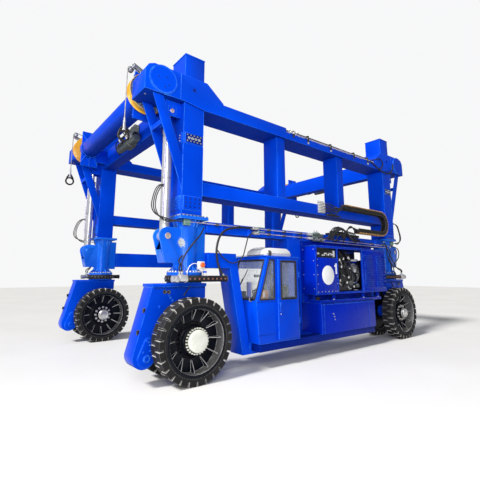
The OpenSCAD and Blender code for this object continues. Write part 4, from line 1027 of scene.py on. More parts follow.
headDetails()
print("head details made")


# Cab: window seals, wiper, roof trim and the operator's place

cabValues = {
    "outer": -2.785, "inner": -1.880, "sillX": -2.030, "sillZ": 1.200, "roofX": -1.745, "roofZ": 2.060,
    "rear": -0.870, "windowLow": 1.240, "windowHigh": 1.985, "doorFace": -2.825, "paneInset": 0.062,
}


def onChassis(name, paint, *parts):
    return fit(name, paint, "chassis", *parts)


def onUpper(name, paint, *parts):
    return fit(name, paint, "upper_frame", *parts)


def slopeX(z):
    c = cabValues
    return c["sillX"] + (c["roofX"] - c["sillX"]) * (z - c["sillZ"]) / (c["roofZ"] - c["sillZ"])


def windowSeal(name, radius, body, points):
    # One bar along each side of an opening
    return fit(name, "sealRubber", body, *[hose([points[k - 1], points[k]], radius, 8, False)
                                           for k in range(len(points))])


def cabSeals():
    c = cabValues
    low, high = c["windowLow"], c["windowHigh"]
    y0, y1 = c["outer"] + c["paneInset"], c["inner"] - c["paneInset"]
    across = [(y0, low), (y0, high), (y1, high), (y1, low)]
    windowSeal("windscreenSeal", 0.017, "chassis", [(slopeX(z) + 0.004, y, z) for y, z in across])
    for name, y, rear in (("quarterSeal", c["outer"] + 0.001, -1.563), ("innerSeal", c["inner"] - 0.001, -0.943)):
        windowSeal(name, 0.014, "chassis", [(slopeX(low) + 0.078, y, low), (slopeX(high) + 0.078, y, high),
                                            (rear, y, high), (rear, y, low)])
    windowSeal("rearSeal", 0.014, "chassis", [(c["rear"], y, z) for y, z in across])
    door = [(-1.423, low), (-1.423, high - 0.02), (-1.002, high - 0.02), (-1.002, low)]
    seal = windowSeal("doorSeal", 0.021, "door", [(x, c["doorFace"] + 0.006, z) for x, z in door])
    gasket = [(-1.472, 0.522), (-1.472, 1.974), (-0.953, 1.974), (-0.953, 0.522)]
    windowSeal("doorGasket", 0.008, "chassis", [(x, c["outer"] + 0.012, z) for x, z in gasket])


def cabOutside():
    c = cabValues
    outer, inner, roofX, rear = c["outer"], c["inner"], c["roofX"], c["rear"]
    onChassis("roofGutter", "bluePaint",
              box((roofX - 0.015, outer - 0.018, 2.035), (rear + 0.012, outer - 0.002, 2.060)),
              box((roofX - 0.030, outer - 0.018, 2.052), (roofX + 0.02, inner + 0.012, 2.070)),
              box((roofX - 0.015, inner + 0.002, 2.035), (rear + 0.012, inner + 0.018, 2.060)))
    onChassis("cabSeams", "deepBluePaint", *[
        box((x, outer - 0.004, z0), (-1.51, outer + 0.002, z1), 0.001)
        for x, z0, z1 in ((-2.01, 0.60, 0.606), (-2.036, 1.196, 1.204))])
    arm = hose([(slopeX(height) - 0.034, y, z) for height, y, z in
                ((1.24, -2.10, 1.262), (1.45, -2.19, 1.45), (1.62, -2.26, 1.63))], 0.009, 8, False)
    blade = box((-0.006, -0.006, -0.22), (0.006, 0.006, 0.22), 0.002)
    blade.data.transform(Matrix.Translation((slopeX(1.60) - 0.022, -2.25, 1.60))
                         @ Matrix.Rotation(math.radians(18), 4, "Y") @ Matrix.Rotation(math.radians(20), 4, "X"))
    hub = turned([(0.024, 0), (0.024, 0.02), (0.016, 0.032)], (slopeX(1.225) - 0.002, -2.10, 1.225), (-1, 0, 0.3), 16)
    onChassis("wiper", "darkPlastic", arm, blade, hub)
    onChassis("mirrorGlass", "rollerGrey", box((-2.094, -2.708, 1.300), (-2.088, -2.582, 1.560), 0.002))
    # Roof unit: louvre band, seam and ridge
    onChassis("roofUnitVents", "darkPlastic", *[
        box((-1.733, -2.66, 2.070 + k * 0.016), (-1.722, -1.78, 2.077 + k * 0.016), 0.002) for k in range(2)])
    onChassis("roofUnitSeam", "greyPlastic", bead(0.004, (-1.722, -2.733, 2.105), (-1.60, -2.733, 2.112),
                                                  (-1.20, -2.733, 2.112), (-1.02, -2.733, 2.105)))
    onChassis("roofUnitRidge", "whitePlastic", prism(
        [(-2.52, 2.224), (-2.42, 2.252), (-2.22, 2.252), (-2.12, 2.224)], "x", -1.60, -1.16, 0.008))
    fit("doorLock", "boltSteel", "door", turned([(0.013, 0), (0.013, 0.006), (0.010, 0.008), (0.006, 0.004)],
                                                (-1.445, c["doorFace"], 0.96), nearWay, 16))
    lamp = turned([(0.052, 0), (0.056, 0.02), (0.056, 0.032), (0.048, 0.034), (0.046, 0.028), (0.01, 0.024)],
                  (-1.63, -2.735, 2.118), leftWay, 28)
    onChassis("workLamp", "darkPlastic", lamp, rod((-1.62, -2.735, 2.060), (-1.62, -2.735, 2.09), 0.008, 10))


steeringValues = {"centre": (-1.74, -2.40, 1.33), "hub": (-1.745, -2.40, 1.325), "foot": (-1.86, -2.40, 1.14),
                  "radius": 0.17, "tilt": math.radians(30), "spokes": (0.3, 2.8, 4.7)}


def cabInside():
    # Armrests with joysticks, a steering wheel, a screen and a tan case behind the quarter window
    onChassis("armrests", "darkPlastic", *[
        box((-1.52, y0, 0.98), (-1.18, y1, 1.12), 0.015) for y0, y1 in ((-2.70, -2.645), (-2.155, -2.10))])
    onChassis("joysticks", "darkPlastic", *[
        turned([(0.030, 0), (0.024, 0.02), (0.011, 0.03), (0.011, 0.10), (0.020, 0.12), (0.020, 0.16), (0.010, 0.17)],
               (-1.47, y, 1.12), sides=16) for y in (-2.672, -2.128)])
    v = steeringValues
    x, y, z = v["centre"]
    deselectAll()
    bpy.ops.mesh.primitive_torus_add(location=v["centre"], major_radius=v["radius"], minor_radius=0.014,
                                     major_segments=36, minor_segments=10, rotation=(0, -v["tilt"], 0))
    rim = settle(bpy.context.object)
    spokes = [rod(v["hub"], (x + 0.16 * math.sin(a) * math.sin(v["tilt"]), y + 0.16 * math.cos(a),
                             z + 0.14 * math.sin(a)), 0.009, 8) for a in v["spokes"]]
    onChassis("steeringWheel", "darkPlastic", rim, rod(v["foot"], v["hub"], 0.018, 12), *spokes)
    onChassis("tanCase", "boxTan", box((-1.74, -2.66, 1.235), (-1.60, -2.50, 1.40), 0.012))
    onChassis("caseSide", "whitePlastic", box((-1.745, -2.665, 1.26), (-1.70, -2.655, 1.37), 0.003))
    onChassis("displayScreen", "darkPlastic", box((-1.90, -2.30, 1.24), (-1.87, -2.12, 1.38), 0.008),
              rod((-1.88, -2.21, 1.16), (-1.885, -2.21, 1.26), 0.010, 10))
    onChassis("seatSeams", "seatCloth", *[
        bead(0.006, (x, -2.635, 0.829), (x, -2.165, 0.829)) for x in (-1.46, -1.36, -1.26)])
    onChassis("seatBackSeams", "seatCloth", *[
        bead(0.007, *[(-1.178 + dz * 0.16, y, 0.90 + dz) for y in (-2.63, -2.17)])
        for dz in (0.10, 0.22, 0.34, 0.46)])


cabSeals()
cabOutside()
cabInside()
print("cab made")


# Power pack: marks, screws, engine fittings and tank bolts

packValues = {
    "face": -2.81, "discX": 0.066, "discZ": 1.690, "discRadius": 0.21, "left": -0.35, "right": 2.48,
    "low": 1.27, "high": 2.33, "bayLeft": 0.417, "bayRight": 1.440,
}


def packOutside():
    p = packValues
    face, left, right, low, high, r = (p[key] for key in ("face", "left", "right", "low", "high", "discRadius"))
    onChassis("bareDisc", "markWhite", turned([(r, 0), (r, 0.0015), (r - 0.002, 0.0025)],
                                              (p["discX"], face, p["discZ"]), nearWay, 64))
    onChassis("numeralOne", "markWhite", prism(
        [(0.338, 1.715), (0.388, 1.715), (0.388, 1.955), (0.352, 1.955), (0.338, 1.925), (0.300, 1.905),
         (0.300, 1.868), (0.338, 1.885)], "y", face - 0.0025, face))
    spots = [(x, 1.335) for x in (-0.29, -0.17, -0.05, 0.07, 0.19, 0.31, 0.385)]
    spots += [(-0.29, z) for z in (1.50, 1.70, 1.90, 2.03)] + [(0.39, z) for z in (1.50, 1.66)]
    onChassis("panelScrews", "boltSteel", bolted(roundBolt(0.010, 0.008), nearWay, [(x, face, z) for x, z in spots]))
    onChassis("packFrameFlanges", "packShadedBluePaint",
              box((left - 0.012, face - 0.012, high - 0.034), (right + 0.012, face + 0.01, high + 0.006)),
              box((left - 0.012, face - 0.010, low + 0.002), (right + 0.012, face + 0.01, low + 0.036)),
              box((left - 0.006, face - 0.008, low + 0.03), (left + 0.045, face + 0.01, high - 0.03)),
              *[box((x0, face - 0.006, low + 0.03), (x1, face + 0.01, high - 0.03), 0.003) for x0, x1 in
                ((p["bayLeft"] - 0.014, p["bayLeft"] + 0.022), (p["bayRight"] - 0.020, p["bayRight"] + 0.016))])
    onChassis("packEndScrews", "boltSteel", bolted(roundBolt(0.011, 0.008), leftWay, [
        (-0.352, y, z) for z in (1.40, 1.70, 2.00, 2.25) for y in (-2.76, -2.46)]))
    # Narrow slots beside the louvres: deep blue blocks standing proud of the face, whose dark colour is painted shade
    # for the openings
    onChassis("cornerSlots", "deepBluePaint", *[
        box((x, face - 0.022, z), (x + 0.018, face - 0.0005, z + 0.050), 0.003)
        for x in (2.405, 2.440) for z in [1.38 + 0.082 * k for k in range(10)]])
    onChassis("louvreHinges", "packShadedBluePaint", *[
        rod((x, face - 0.010, z), (x, face - 0.010, z + 0.09), 0.010, 12)
        for x in (1.462, 2.462) for z in (1.42, 2.12)])
    onChassis("packRoofSheet", "packShadedBluePaint", prism(
        [(-0.362, -2.822), (2.492, -2.822), (2.492, -2.53), (2.09, -2.53), (2.09, -2.40), (-0.362, -2.40)],
        "z", 2.330, 2.338, 0.003))


def connectorStrip():
    # The strip of plugs under the pack's roof
    y = -2.735
    onChassis("stripBacking", "oilyBlack", box((-0.32, y, 2.075), (0.41, y + 0.010, 2.285), 0.002))
    plugs = [turned([(r * 1.3, 0), (r * 1.3, 0.02), (r, 0.024), (r, 0.06), (r * 0.7, 0.065)], (x, y, z), nearWay, 14)
             for x, z, r in ((-0.215, 2.16, 0.020), (-0.02, 2.13, 0.014), (0.055, 2.17, 0.016), (0.13, 2.14, 0.018),
                             (0.22, 2.17, 0.014), (0.29, 2.15, 0.020))]
    onChassis("stripConnectors", "whitePlastic", *plugs, *[
        box((x, -2.79, 2.10), (x + 0.012, y, 2.24), 0.003) for x in (-0.295, 0.345)])
    onChassis("stripCables", "hoseRubber", *[
        hose([(x, -2.77, 2.15), (x + 0.03, -2.78, 2.10), (x + 0.10, -2.74, 2.085), (x + 0.2, -2.70, 2.10)], 0.009)
        for x in (-0.215, -0.02, 0.10)])


fanValues = {"x": 1.235, "z": 1.73, "blades": 7, "pitch": math.radians(35)}


def openBay():
    # What shows of the engine: fan, filters, covers, brackets, hoses and pulleys
    v = fanValues
    onChassis("fanShroud", "bareSheet", turned(
        [(0.255, 0), (0.255, 0.05), (0.235, 0.09), (0.215, 0.09), (0.215, 0.01), (0.18, 0.005)],
        (v["x"], -2.60, v["z"]), nearWay, 40))
    fan = [turned([(0.055, 0), (0.055, 0.05), (0.04, 0.06)], (v["x"], -2.61, v["z"]), nearWay, 20)]
    for k in range(v["blades"]):
        blade = box((0.04, -0.004, -0.028), (0.19, 0.004, 0.028), 0.002)
        turn = Matrix.Rotation(math.tau * k / v["blades"], 4, "Y") @ Matrix.Rotation(v["pitch"], 4, "X")
        blade.data.transform(Matrix.Translation((v["x"], -2.640, v["z"])) @ turn)
        fan.append(blade)
    onChassis("fanBlades", "oilyBlack", *fan)
    onChassis("oilFilters", "oilyBlack", *[
        turned([(0.055, 0), (0.058, 0.012), (0.058, 0.15), (0.05, 0.165), (0.02, 0.17)], (x, -2.68, 1.62), sides=24)
        for x in (0.62, 0.78)])
    onChassis("rockerCover", "driveGrey", box((0.50, -2.70, 1.865), (0.88, -2.53, 1.93), 0.015),
              box((0.54, -2.68, 1.93), (0.84, -2.55, 1.975), 0.015))
    onChassis("engineBrackets", "bareSheet",
              box((0.865, -2.765, 1.36), (0.90, -2.72, 1.50)), box((0.865, -2.765, 1.36), (0.985, -2.72, 1.385)),
              *[rod(a, b, r, 10) for a, b, r in (
                  ((0.60, -2.76, 2.03), (0.70, -2.74, 1.90), 0.010),
                  ((0.70, -2.74, 1.90), (0.80, -2.75, 1.905), 0.010),
                  ((0.52, -2.755, 1.52), (0.60, -2.755, 1.46), 0.012),
                  ((0.66, -2.765, 1.70), (0.74, -2.765, 1.66), 0.008))],
              box((1.02, -2.76, 2.02), (1.31, -2.745, 2.07), 0.003))
    paths = (
        ((0.50, -2.7, 2.20), (0.56, -2.76, 2.02), (0.62, -2.77, 1.80), (0.58, -2.74, 1.55), (0.52, -2.70, 1.36)),
        ((0.62, -2.72, 2.24), (0.70, -2.77, 2.05), (0.84, -2.77, 1.86), (0.92, -2.74, 1.62), (0.90, -2.70, 1.40)),
        ((0.47, -2.74, 1.95), (0.60, -2.775, 1.86), (0.76, -2.77, 1.94), (0.96, -2.74, 2.06), (1.02, -2.70, 2.20)),
        ((0.70, -2.72, 1.38), (0.80, -2.77, 1.50), (0.94, -2.775, 1.42), (1.08, -2.76, 1.40), (1.26, -2.74, 1.44)),
        ((0.88, -2.70, 2.24), (0.90, -2.76, 2.08), (0.98, -2.765, 1.95), (1.00, -2.72, 1.84), (1.02, -2.68, 1.78)))
    onChassis("engineHoses", "hoseRubber", *[hose(path, 0.018) for path in paths])
    onChassis("hoseFerrules", "boltSteel", bolted(
        turned([(0.024, 0), (0.024, 0.03), (0.018, 0.034), (0.018, 0.05)], sides=12), (0, -0.3, 1),
        [path[k] for path in paths for k in (1, 3)]))
    onChassis("beltPulleys", "driveGrey", *[
        turned([(r, 0), (r, 0.012), (r - 0.012, 0.018), (r - 0.012, 0.028), (r, 0.034), (r, 0.046)],
               (x, -2.735, z), nearWay, 28) for x, z, r in ((0.98, 1.50, 0.055), (1.24, 1.44, 0.045))])
    onChassis("bayFloor", "deepBluePaint", box((0.44, -2.79, 1.312), (1.42, -2.44, 1.322), 0.002))
    onChassis("engineBack", "oilyBlack", *[box(*block) for block in (
        ((0.45, -2.470, 1.32), (1.62, -2.455, 2.285), 0.002), ((1.61, -2.470, 1.32), (2.02, -2.455, 2.06), 0.002),
        ((0.46, -2.60, 1.97), (1.00, -2.48, 2.20), 0.02), ((0.98, -2.62, 1.34), (1.40, -2.50, 1.52), 0.02),
        ((0.46, -2.66, 1.33), (0.60, -2.50, 1.95), 0.02))])
    onChassis("bayTubes", "packShadedBluePaint", rod((1.02, -2.62, 2.00), (1.42, -2.62, 2.00), 0.022, 16),
              rod((1.02, -2.58, 2.235), (1.42, -2.58, 2.235), 0.014, 12))


def packBackFrame():
    # Plates that close the pack's back against the rail and its post
    onChassis("packBackFrame", "packShadedBluePaint", *[box(*plate, 0.002) for plate in (
        ((-0.46, -2.440, 1.10), (-0.345, -2.428, 2.45)), ((-0.36, -2.440, 1.10), (0.03, -2.428, 1.295)),
        ((-0.36, -2.440, 2.27), (2.48, -2.425, 2.452)))])


def tankDetails():
    face = packValues["face"]
    onChassis("tankTopBolts", "packShadedBluePaint", bolted(
        hexBolt(0.009, 0.010), nearWay, row((-0.15, face, 1.058), (1.82, face, 1.050), 46)))
    onChassis("tankLip", "deepBluePaint", box((-0.205, face - 0.006, 1.072), (1.875, face + 0.01, 1.086), 0.003))
    onChassis("drainBolts", "boltSteel", bolted(
        hexBolt(0.011, 0.012), nearWay, [(x, face, z) for x, z in ((0.201, 0.85), (0.224, 0.79), (0.243, 0.729))]))
    onChassis("tankSeams", "packShadedBluePaint", *[
        bead(0.004, (x, face - 0.001, 0.46), (x, face - 0.001, 1.07)) for x in (1.60, -0.12)])
    onChassis("feetNuts", "boltSteel", bolted(
        hexBolt(0.020, 0.02), upWay, [(x, -2.79, 1.150) for x in (0.25, 1.42, 2.07)]))
    onChassis("fillerCap", "blackCasting", turned(
        [(0.055, 0), (0.055, 0.02), (0.062, 0.022), (0.062, 0.055), (0.05, 0.062)], (-0.08, -2.60, 1.15), sides=24))


packBackFrame()
packOutside()
connectorStrip()
openBay()
tankDetails()
print("power pack made")


# Pipes, valves and hoses along the near side

pipeValues = {
    "front": -2.540, "radius": 0.011, "upper": 2.605, "lower": 2.515, "rightUpper": 2.530, "rightLower": 2.430,
    "leftValve": -1.80, "middleValve": -0.16, "blockEnd": 0.27, "railFace": -2.481,
}


def railPipes():
    p = pipeValues
    y, r, upper, lower, rightUpper = p["front"], p["radius"], p["upper"], p["lower"], p["rightUpper"]
    runs = (((-3.36, upper), (p["middleValve"] - 0.05, upper)),
            ((p["leftValve"], lower), (p["middleValve"] - 0.05, lower)),
            ((p["blockEnd"], rightUpper), (3.30, rightUpper - 0.03)),
            ((p["blockEnd"], p["rightLower"] + 0.03), (3.12, p["rightLower"] + 0.02)))
    onChassis("railPipes", "pipeSteel", *[rod((a[0], y, a[1]), (b[0], y, b[1]), r, 12) for a, b in runs])
    # Two-part clamps that reach back to the rail
    clamps = []
    for z, places in ((upper, (-2.75, -2.25, -1.45, -1.0, -0.5)), (lower, (-1.45, -1.0, -0.5)),
                      (rightUpper - 0.012, (0.8, 1.6, 2.4, 2.95))):
        for x in places:
            clamps.append(box((x - 0.022, y - r - 0.012, z - 0.024), (x + 0.022, p["railFace"], z + 0.024)))
            clamps.append(rod((x, y - r - 0.011, z), (x, y - r - 0.022, z), 0.009, 6))
    onChassis("railClamps", "blackCasting", *clamps)
    # Valve with a green handle on each pipe, then the block at the middle of the rail
    for name, x in (("left", p["leftValve"]), ("middle", p["middleValve"])):
        onChassis(name + "ValveBodies", "silverPaint", *[
            box((x - 0.085, y - 0.035, z - 0.030), (x + 0.05, -2.485, z + 0.030), 0.006) for z in (upper, lower)], *[
            turned([(0.022, 0), (0.022, 0.02), (0.014, 0.024), (0.014, 0.05)], (x - 0.02, y - 0.03, z), nearWay, 12)
            for z in (upper, lower)])
        onChassis(name + "ValveHandles", "valveGreen", *[
            box((x - 0.03, y - 0.088, z + 0.006), (x + 0.15, y - 0.066, z + 0.026), 0.005)
            for z in (upper, lower + 0.01)])
    onChassis("valveBlock", "driveGrey", box((-0.10, -2.575, 2.455), (0.27, -2.485, 2.560), 0.008),
              box((-0.06, -2.600, 2.56), (0.10, -2.49, 2.655), 0.008),
              box((0.12, -2.59, 2.57), (0.24, -2.49, 2.63), 0.006))
    onChassis("blockFittings", "boltSteel", *[
        turned([(0.024, 0), (0.024, 0.018), (0.016, 0.022), (0.016, 0.050), (0.022, 0.052), (0.022, 0.066)],
               (x, -2.575, z), nearWay, 12) for x, z in ((-0.05, 2.50), (0.03, 2.49), (0.11, 2.51), (0.19, 2.49))], *[
        turned([(0.020, 0), (0.020, 0.03), (0.012, 0.034), (0.012, 0.06)], (x, -2.55, 2.655), sides=12)
        for x in (-0.03, 0.05)])


def steerHoses():
    # A thick loop from the near left slewing drive up to the valve, with a thin one inside it
    onChassis("steerHose", "hoseRubber", hose(
        [(-2.690, -2.690, 1.640), (-2.74, -2.680, 1.72), (-2.81, -2.640, 1.95), (-2.80, -2.620, 2.24),
         (-2.66, -2.600, 2.47), (-2.37, -2.590, 2.572), (-2.04, -2.570, 2.600), (-1.885, -2.560, 2.605)], 0.021))
    onChassis("drainHose", "hoseRubber", hose(
        [(-2.79, -2.615, 2.13), (-2.64, -2.610, 1.99), (-2.43, -2.605, 1.915), (-2.22, -2.600, 2.02),
         (-2.12, -2.595, 2.25), (-2.03, -2.580, 2.44), (-1.885, -2.560, 2.515)], 0.011))
    ends = [turned([(0.028, 0), (0.028, 0.03), (0.024, 0.034), (0.024, 0.09)], place, way, 12) for place, way in
            (((-2.685, -2.690, 1.640), (-0.4, 0.05, 0.8)), ((-1.885, -2.560, 2.605), (-1, 0, -0.05)))]
    onChassis("steerHoseEnds", "boltSteel", *ends,
              turned([(0.016, 0), (0.016, 0.05)], (-1.885, -2.560, 2.515), (-1, -0.1, -0.3), 12))
    # Stop button box on a short stand over the worm housing
    onChassis("stopStand", "whitePlastic", box((-3.125, -2.70, 1.686), (-3.070, -2.66, 1.80)),
              box((-3.24, -2.705, 1.795), (-3.07, -2.655, 1.805), 0.003))
    onChassis("stopBand", "bluePaint", box((-3.127, -2.703, 1.735), (-3.068, -2.657, 1.765), 0.003))
    onChassis("stopBox", "whitePlastic", box((-3.235, -2.71, 1.805), (-3.115, -2.65, 1.925), 0.010))
    onChassis("stopKnob", "stopOrange", turned(
        [(0.020, 0), (0.020, 0.014), (0.045, 0.018), (0.045, 0.036), (0.036, 0.044)],
        (-3.175, -2.71, 1.865), nearWay, 8))
    onChassis("stopLead", "whitePlastic", hose(
        [(-3.23, -2.68, 1.87), (-3.30, -2.68, 1.89), (-3.36, -2.66, 1.86), (-3.40, -2.65, 1.80),
         (-3.44, -2.68, 1.70)], 0.006))


def rightHoses():
    paths = (
        ((3.28, -2.55, 2.50), (3.50, -2.60, 2.47), (3.66, -2.60, 2.38), (3.62, -2.60, 2.18), (3.44, -2.60, 2.05)),
        ((3.10, -2.55, 2.45), (3.16, -2.62, 2.34), (3.05, -2.63, 2.18), (3.14, -2.63, 1.98), (3.10, -2.66, 1.72)),
        ((3.44, -2.60, 2.05), (3.30, -2.62, 1.94), (3.24, -2.64, 1.84), (3.26, -2.67, 1.70)),
        ((3.0, -2.53, 2.62), (3.02, -2.60, 2.46), (2.96, -2.62, 2.28), (3.05, -2.62, 2.08), (3.22, -2.60, 2.02)))
    onChassis("rightHoses", "hoseRubber", *[hose(path, 0.013) for path in paths])
    onChassis("rightHoseEnds", "boltSteel", bolted(
        turned([(0.019, 0), (0.019, 0.04), (0.015, 0.044)], sides=10), (0.2, -0.2, -0.6),
        [path[0] for path in paths]))


def beamPipes():
    # Pipe and cable along the front edge of each top beam, with their clamps
    cablePath = ((-0.92, 2.58, 4.900), (0.3, 2.582, 4.908), (1.3, 2.58, 4.900), (2.3, 2.59, 4.896),
                 (2.55, 2.625, 4.82), (2.78, 2.635, 4.72), (3.10, 2.632, 4.655), (3.42, 2.632, 4.69),
                 (3.62, 2.632, 4.84), (3.665, 2.632, 5.02))
    loopPath = ((-0.88, 2.56, 4.928), (0.6, 2.555, 4.936), (1.9, 2.56, 4.925), (2.5, 2.57, 4.92), (2.72, 2.60, 4.98),
                (2.95, 2.632, 5.03), (3.08, 2.632, 4.95), (3.02, 2.632, 4.80), (2.86, 2.632, 4.70))
    for name, sy in (("near", -1), ("far", 1)):
        def block(x0, x1, y0, y1, z0, z1, round_=0.004, sy=sy):
            return box((x0, sy * y0, z0), (x1, sy * y1, z1), round_)

        y = sy * 2.612
        onUpper(name + "BeamPipe", "pipeSteel", rod((-0.90, y, 4.877), (2.62, y, 4.877), 0.014, 12))
        for stem, path, radius in (("BeamCable", cablePath, 0.018), ("BeamLoop", loopPath, 0.014)):
            onUpper(name + stem, "hoseRubber", hose([(x, sy * out, z) for x, out, z in path], radius))
        clamps = []
        for x in (-0.72, -0.22, 0.64, 1.64, 2.30):
            clamps.append(block(x - 0.030, x + 0.030, 2.535, 2.625, 4.858, 4.945))
            clamps.append(block(x - 0.022, x + 0.022, 2.608, 2.634, 4.78, 4.895))
        onUpper(name + "BeamClamps", "blackCasting", *clamps)
        onUpper(name + "BeamTags", "silverPaint", *[
            block(x - 0.018, x + 0.020, 2.610, 2.640, 4.735, 4.782) for x in (-0.22, 0.64, 2.30)])
        onUpper(name + "BeamFittings", "whitePlastic", *[
            block(x, x + 0.05, 2.56, 2.628, 4.915, 4.955, 0.005) for x in (-0.86, -0.79, -0.70, -0.60)], *[
            block(x, x + 0.045, 2.61, 2.640, 4.865, 4.90, 0.005) for x in (-0.84, -0.75)])


railPipes()
steerHoses()
rightHoses()
beamPipes()
print("pipes and hoses made")


# Energy chain: amber rungs, connector plate and hoses

chainValues = {
    "upper": 3.355, "radius": 0.290, "half": 0.045, "start": 0.920, "bend": 2.545, "end": 1.420,
    "front": -2.770, "back": -2.630, "pitch": 0.0715, "leads": 6,
}


def chainPlaces():
    # (x, z, turn) of each link: along the upper run, round the bend and back along the lower run
    c = chainValues
    middle = c["upper"] - c["radius"]
    edge = c["radius"] + c["half"]
    places = []
    x = c["start"] + 0.03
    while x < c["bend"]:
        places.append((x, c["upper"] + c["half"], 90))
        x += c["pitch"]
    a = 88.0
    while a > -88:
        t = math.radians(a)
        places.append((c["bend"] + edge * math.cos(t), middle + edge * math.sin(t), a))
        a -= math.degrees(c["pitch"] / edge)
    x = c["bend"]
    while x > c["end"] + 0.02:
        places.append((x, middle - edge, -90))
        x -= c["pitch"]
    return places


def chainDetails():
    # Amber cross stays on the outer face, dark links at both sides
    c = chainValues
    front, back = c["front"], c["back"]
    stay = box((-0.028, front - 0.006, -0.014), (0.006, back + 0.006, 0.014))
    link = box((-0.125, front - 0.004, -0.031), (-0.002, front + 0.020, 0.031), 0.006)
    stays, links = [], []
    for x, z, a in chainPlaces():
        change = Matrix.Translation((x, 0, z)) @ Matrix.Rotation(math.radians(-a), 4, "Y")
        stays.append(copyOf(stay, change))
        links.append(copyOf(link, change))
        links.append(copyOf(link, Matrix.Translation((0, back - front - 0.016, 0)) @ change))
    for piece in (stay, link):
        bpy.data.objects.remove(piece)
    onUpper("chainStays", "chainAmber", *stays)
    onUpper("chainLinks", "chainBlack", *links)
    # Ribbed connector plate on the low beam, and the hoses from it to the chain
    onUpper("connectorPlate", "webGrey", box((0.12, -2.565, 3.14), (0.35, -2.546, 3.43), 0.003))
    onUpper("connectorRibs", "whitePlastic", *[
        box((0.13, -2.60, 3.160 + k * 0.038), (0.34, -2.565, 3.178 + k * 0.038), 0.003) for k in range(7)])
    onUpper("connectorLeads", "hoseRubber", *[
        hose([(0.335, -2.595, z), (0.42, -2.62, z + 0.01), (0.58, -2.66 + 0.01 * k, z - 0.06 + 0.03 * (k % 3)),
              (0.76, -2.69, 3.24 + 0.03 * (k % 3)), (0.94, -2.70, 3.335 + 0.008 * k)], 0.012)
        for k, z in [(k, 3.18 + 0.038 * k) for k in range(c["leads"])]])
    onUpper("leadTray", "blackCasting", box((0.40, -2.62, 3.10), (0.92, -2.546, 3.13)),
            box((0.62, -2.70, 3.285), (0.93, -2.64, 3.305), 0.003))


def hoseCluster():
    # Bundle that leaves the chain for the valve block on the rail
    paths = [((0.30 + 0.03 * k, -2.56, 2.535 + lift * 0.5), (0.50 + 0.02 * k, -2.585, 2.60 + lift),
              (0.72, -2.60 - 0.004 * k, 2.71 + lift), (0.98, -2.61, 2.79 + lift * 0.4),
              (1.20, -2.62 - 0.003 * k, 2.70 - lift), (1.36, -2.60, 2.60 - lift * 0.5), (1.56, -2.545, 2.56))
             for k, lift in [(k, 0.016 * k) for k in range(6)]]
    paths.append(((0.62, -2.59, 2.52), (0.55, -2.60, 2.66), (0.66, -2.61, 2.80), (0.86, -2.61, 2.84),
                  (0.98, -2.60, 2.72), (0.90, -2.59, 2.56), (0.72, -2.58, 2.50)))
    paths.append(((0.70, -2.60, 2.50), (0.78, -2.61, 2.62), (0.92, -2.615, 2.66), (1.02, -2.60, 2.56),
                  (1.0, -2.59, 2.47)))
    paths += [((0.42 + 0.05 * k, -2.57, 2.50), (0.44 + 0.06 * k, -2.60, 2.62 + 0.02 * k),
               (0.58 + 0.08 * k, -2.61, 2.79), (0.86 + 0.07 * k, -2.615, 2.83 - 0.02 * k),
               (1.10 + 0.09 * k, -2.61, 2.72), (1.30 + 0.10 * k, -2.60, 2.60 - 0.01 * k),
               (1.52 + 0.11 * k, -2.56, 2.545)) for k in range(5)]
    paths += [((0.95 + 0.05 * k, -2.61, 2.56), (1.05 + 0.05 * k, -2.62, 2.72 + 0.03 * k),
               (1.26, -2.65, 2.86 + 0.02 * k), (1.40, -2.68, 2.85 - 0.03 * k), (1.46, -2.70, 2.79))
              for k in range(3)]
    onChassis("hoseCluster", "hoseRubber", *[hose(path, 0.0125) for path in paths])
    onChassis("hoseBed", "oilyBlack", box((0.55, -2.56, 2.645), (1.75, -2.40, 2.700)),
              box((0.66, -2.54, 2.70), (1.18, -2.44, 2.755), 0.01))


chainDetails()
hoseCluster()
print("energy chain details made")


# Reels, rope ends and winches

hoistValues = {
    "boltFace": -2.005, "boltRing": 0.10, "boltCount": 8, "eyeZ": 4.110, "sleeveZ": 4.345, "plateX": -3.532,
    "motorX": -3.63, "motorZ": 4.725, "motorRadius": 0.085, "fins": 9,
}


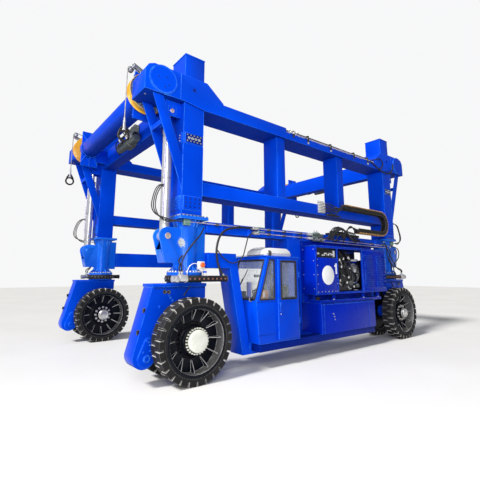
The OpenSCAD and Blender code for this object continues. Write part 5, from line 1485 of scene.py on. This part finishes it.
def hoistDetails():
    h = hoistValues
    onCorners("reelBolts", "boltSteel", "drum_", scattered(hexBolt(0.014, 0.012), ringPlaces(
        (-layout["drumX"], h["boltFace"], layout["drumZ"]), nearWay, h["boltRing"], h["boltCount"])))
    # Sleeve and saddle of each rope socket
    x, y = -layout["ropeX"], -layout["ropeY"]
    onCorners("ropeSleeve", "silverPaint", "upper_frame", turned(
        [(0.024, 0), (0.024, 0.05), (0.018, 0.055), (0.018, 0.10)], (x, y, h["sleeveZ"]), upWay, 16))
    onCorners("ropeSaddle", "forgedBlack", "upper_frame", *[
        prism([(x + s * dx, h["eyeZ"] + dz) for dx, dz in
               ((0.097, 0.050), (0.082, 0.106), (0.026, 0.196), (0.0, 0.196), (0.0, 0.108), (0.058, 0.092))],
              "y", y - 0.013, y + 0.013, 0.003) for s in (-1, 1)])
    # Bolts, bands and pipes of the two winch drives
    x, mx, mz, r = h["plateX"], h["motorX"], h["motorZ"], h["motorRadius"]
    onEnds("winchBolts", "boltSteel", bolted(hexBolt(0.016, 0.014), leftWay, [(x, y, z) for y, z in (
        (-0.44, 4.72), (-0.44, 5.0), (-0.30, 5.08), (-0.13, 5.12), (0.06, 5.10), (0.24, 5.0), (0.24, 4.74),
        (0.26, 4.87), (-0.45, 4.86), (0.10, 4.66))]))
    onEnds("winchBands", "blackCasting", *[
        turned([(r + 0.012, 0), (r + 0.012, 0.03), (r + 0.002, 0.034), (r + 0.002, -0.004)],
               (mx, y, mz), (0, 1, 0), 28) for y in (-0.62, -0.50, -0.38, 0.05, 0.18, 0.30)])
    onEnds("winchFins", "webGrey", *[
        box((mx - r - 0.022, y, mz - 0.05), (mx - r + 0.01, y + 0.010, mz + 0.05), 0.002)
        for y in (-0.60 + 0.028 * k for k in range(h["fins"]))])
    onEnds("winchPorts", "boltSteel", *[
        turned([(0.024, 0), (0.024, 0.03), (0.016, 0.034), (0.016, 0.075)],
               (mx - 0.03, y, mz + 0.07), (-0.5, 0, 0.8), 12) for y in (-0.30, -0.22, -0.14, 0.24)])
    onEnds("winchHoses", "hoseRubber", *[
        hose([(mx - 0.05, y, mz + 0.12), (mx - 0.11, y + 0.05, mz + 0.22), (mx - 0.07, y + 0.22, mz + 0.34),
              (x, y + 0.42, mz + 0.40), (x + 0.02, y + 0.9, 5.06 + 0.02 * k)], 0.013)
        for k, y in enumerate((-0.30, -0.22, -0.14))],
        hose([(mx - 0.06, 0.24, mz + 0.12), (mx - 0.10, 0.34, mz + 0.10), (mx - 0.05, 0.48, mz - 0.02),
              (x, 0.62, mz - 0.10)], 0.013))


hoistDetails()
print("reel and rope details made")
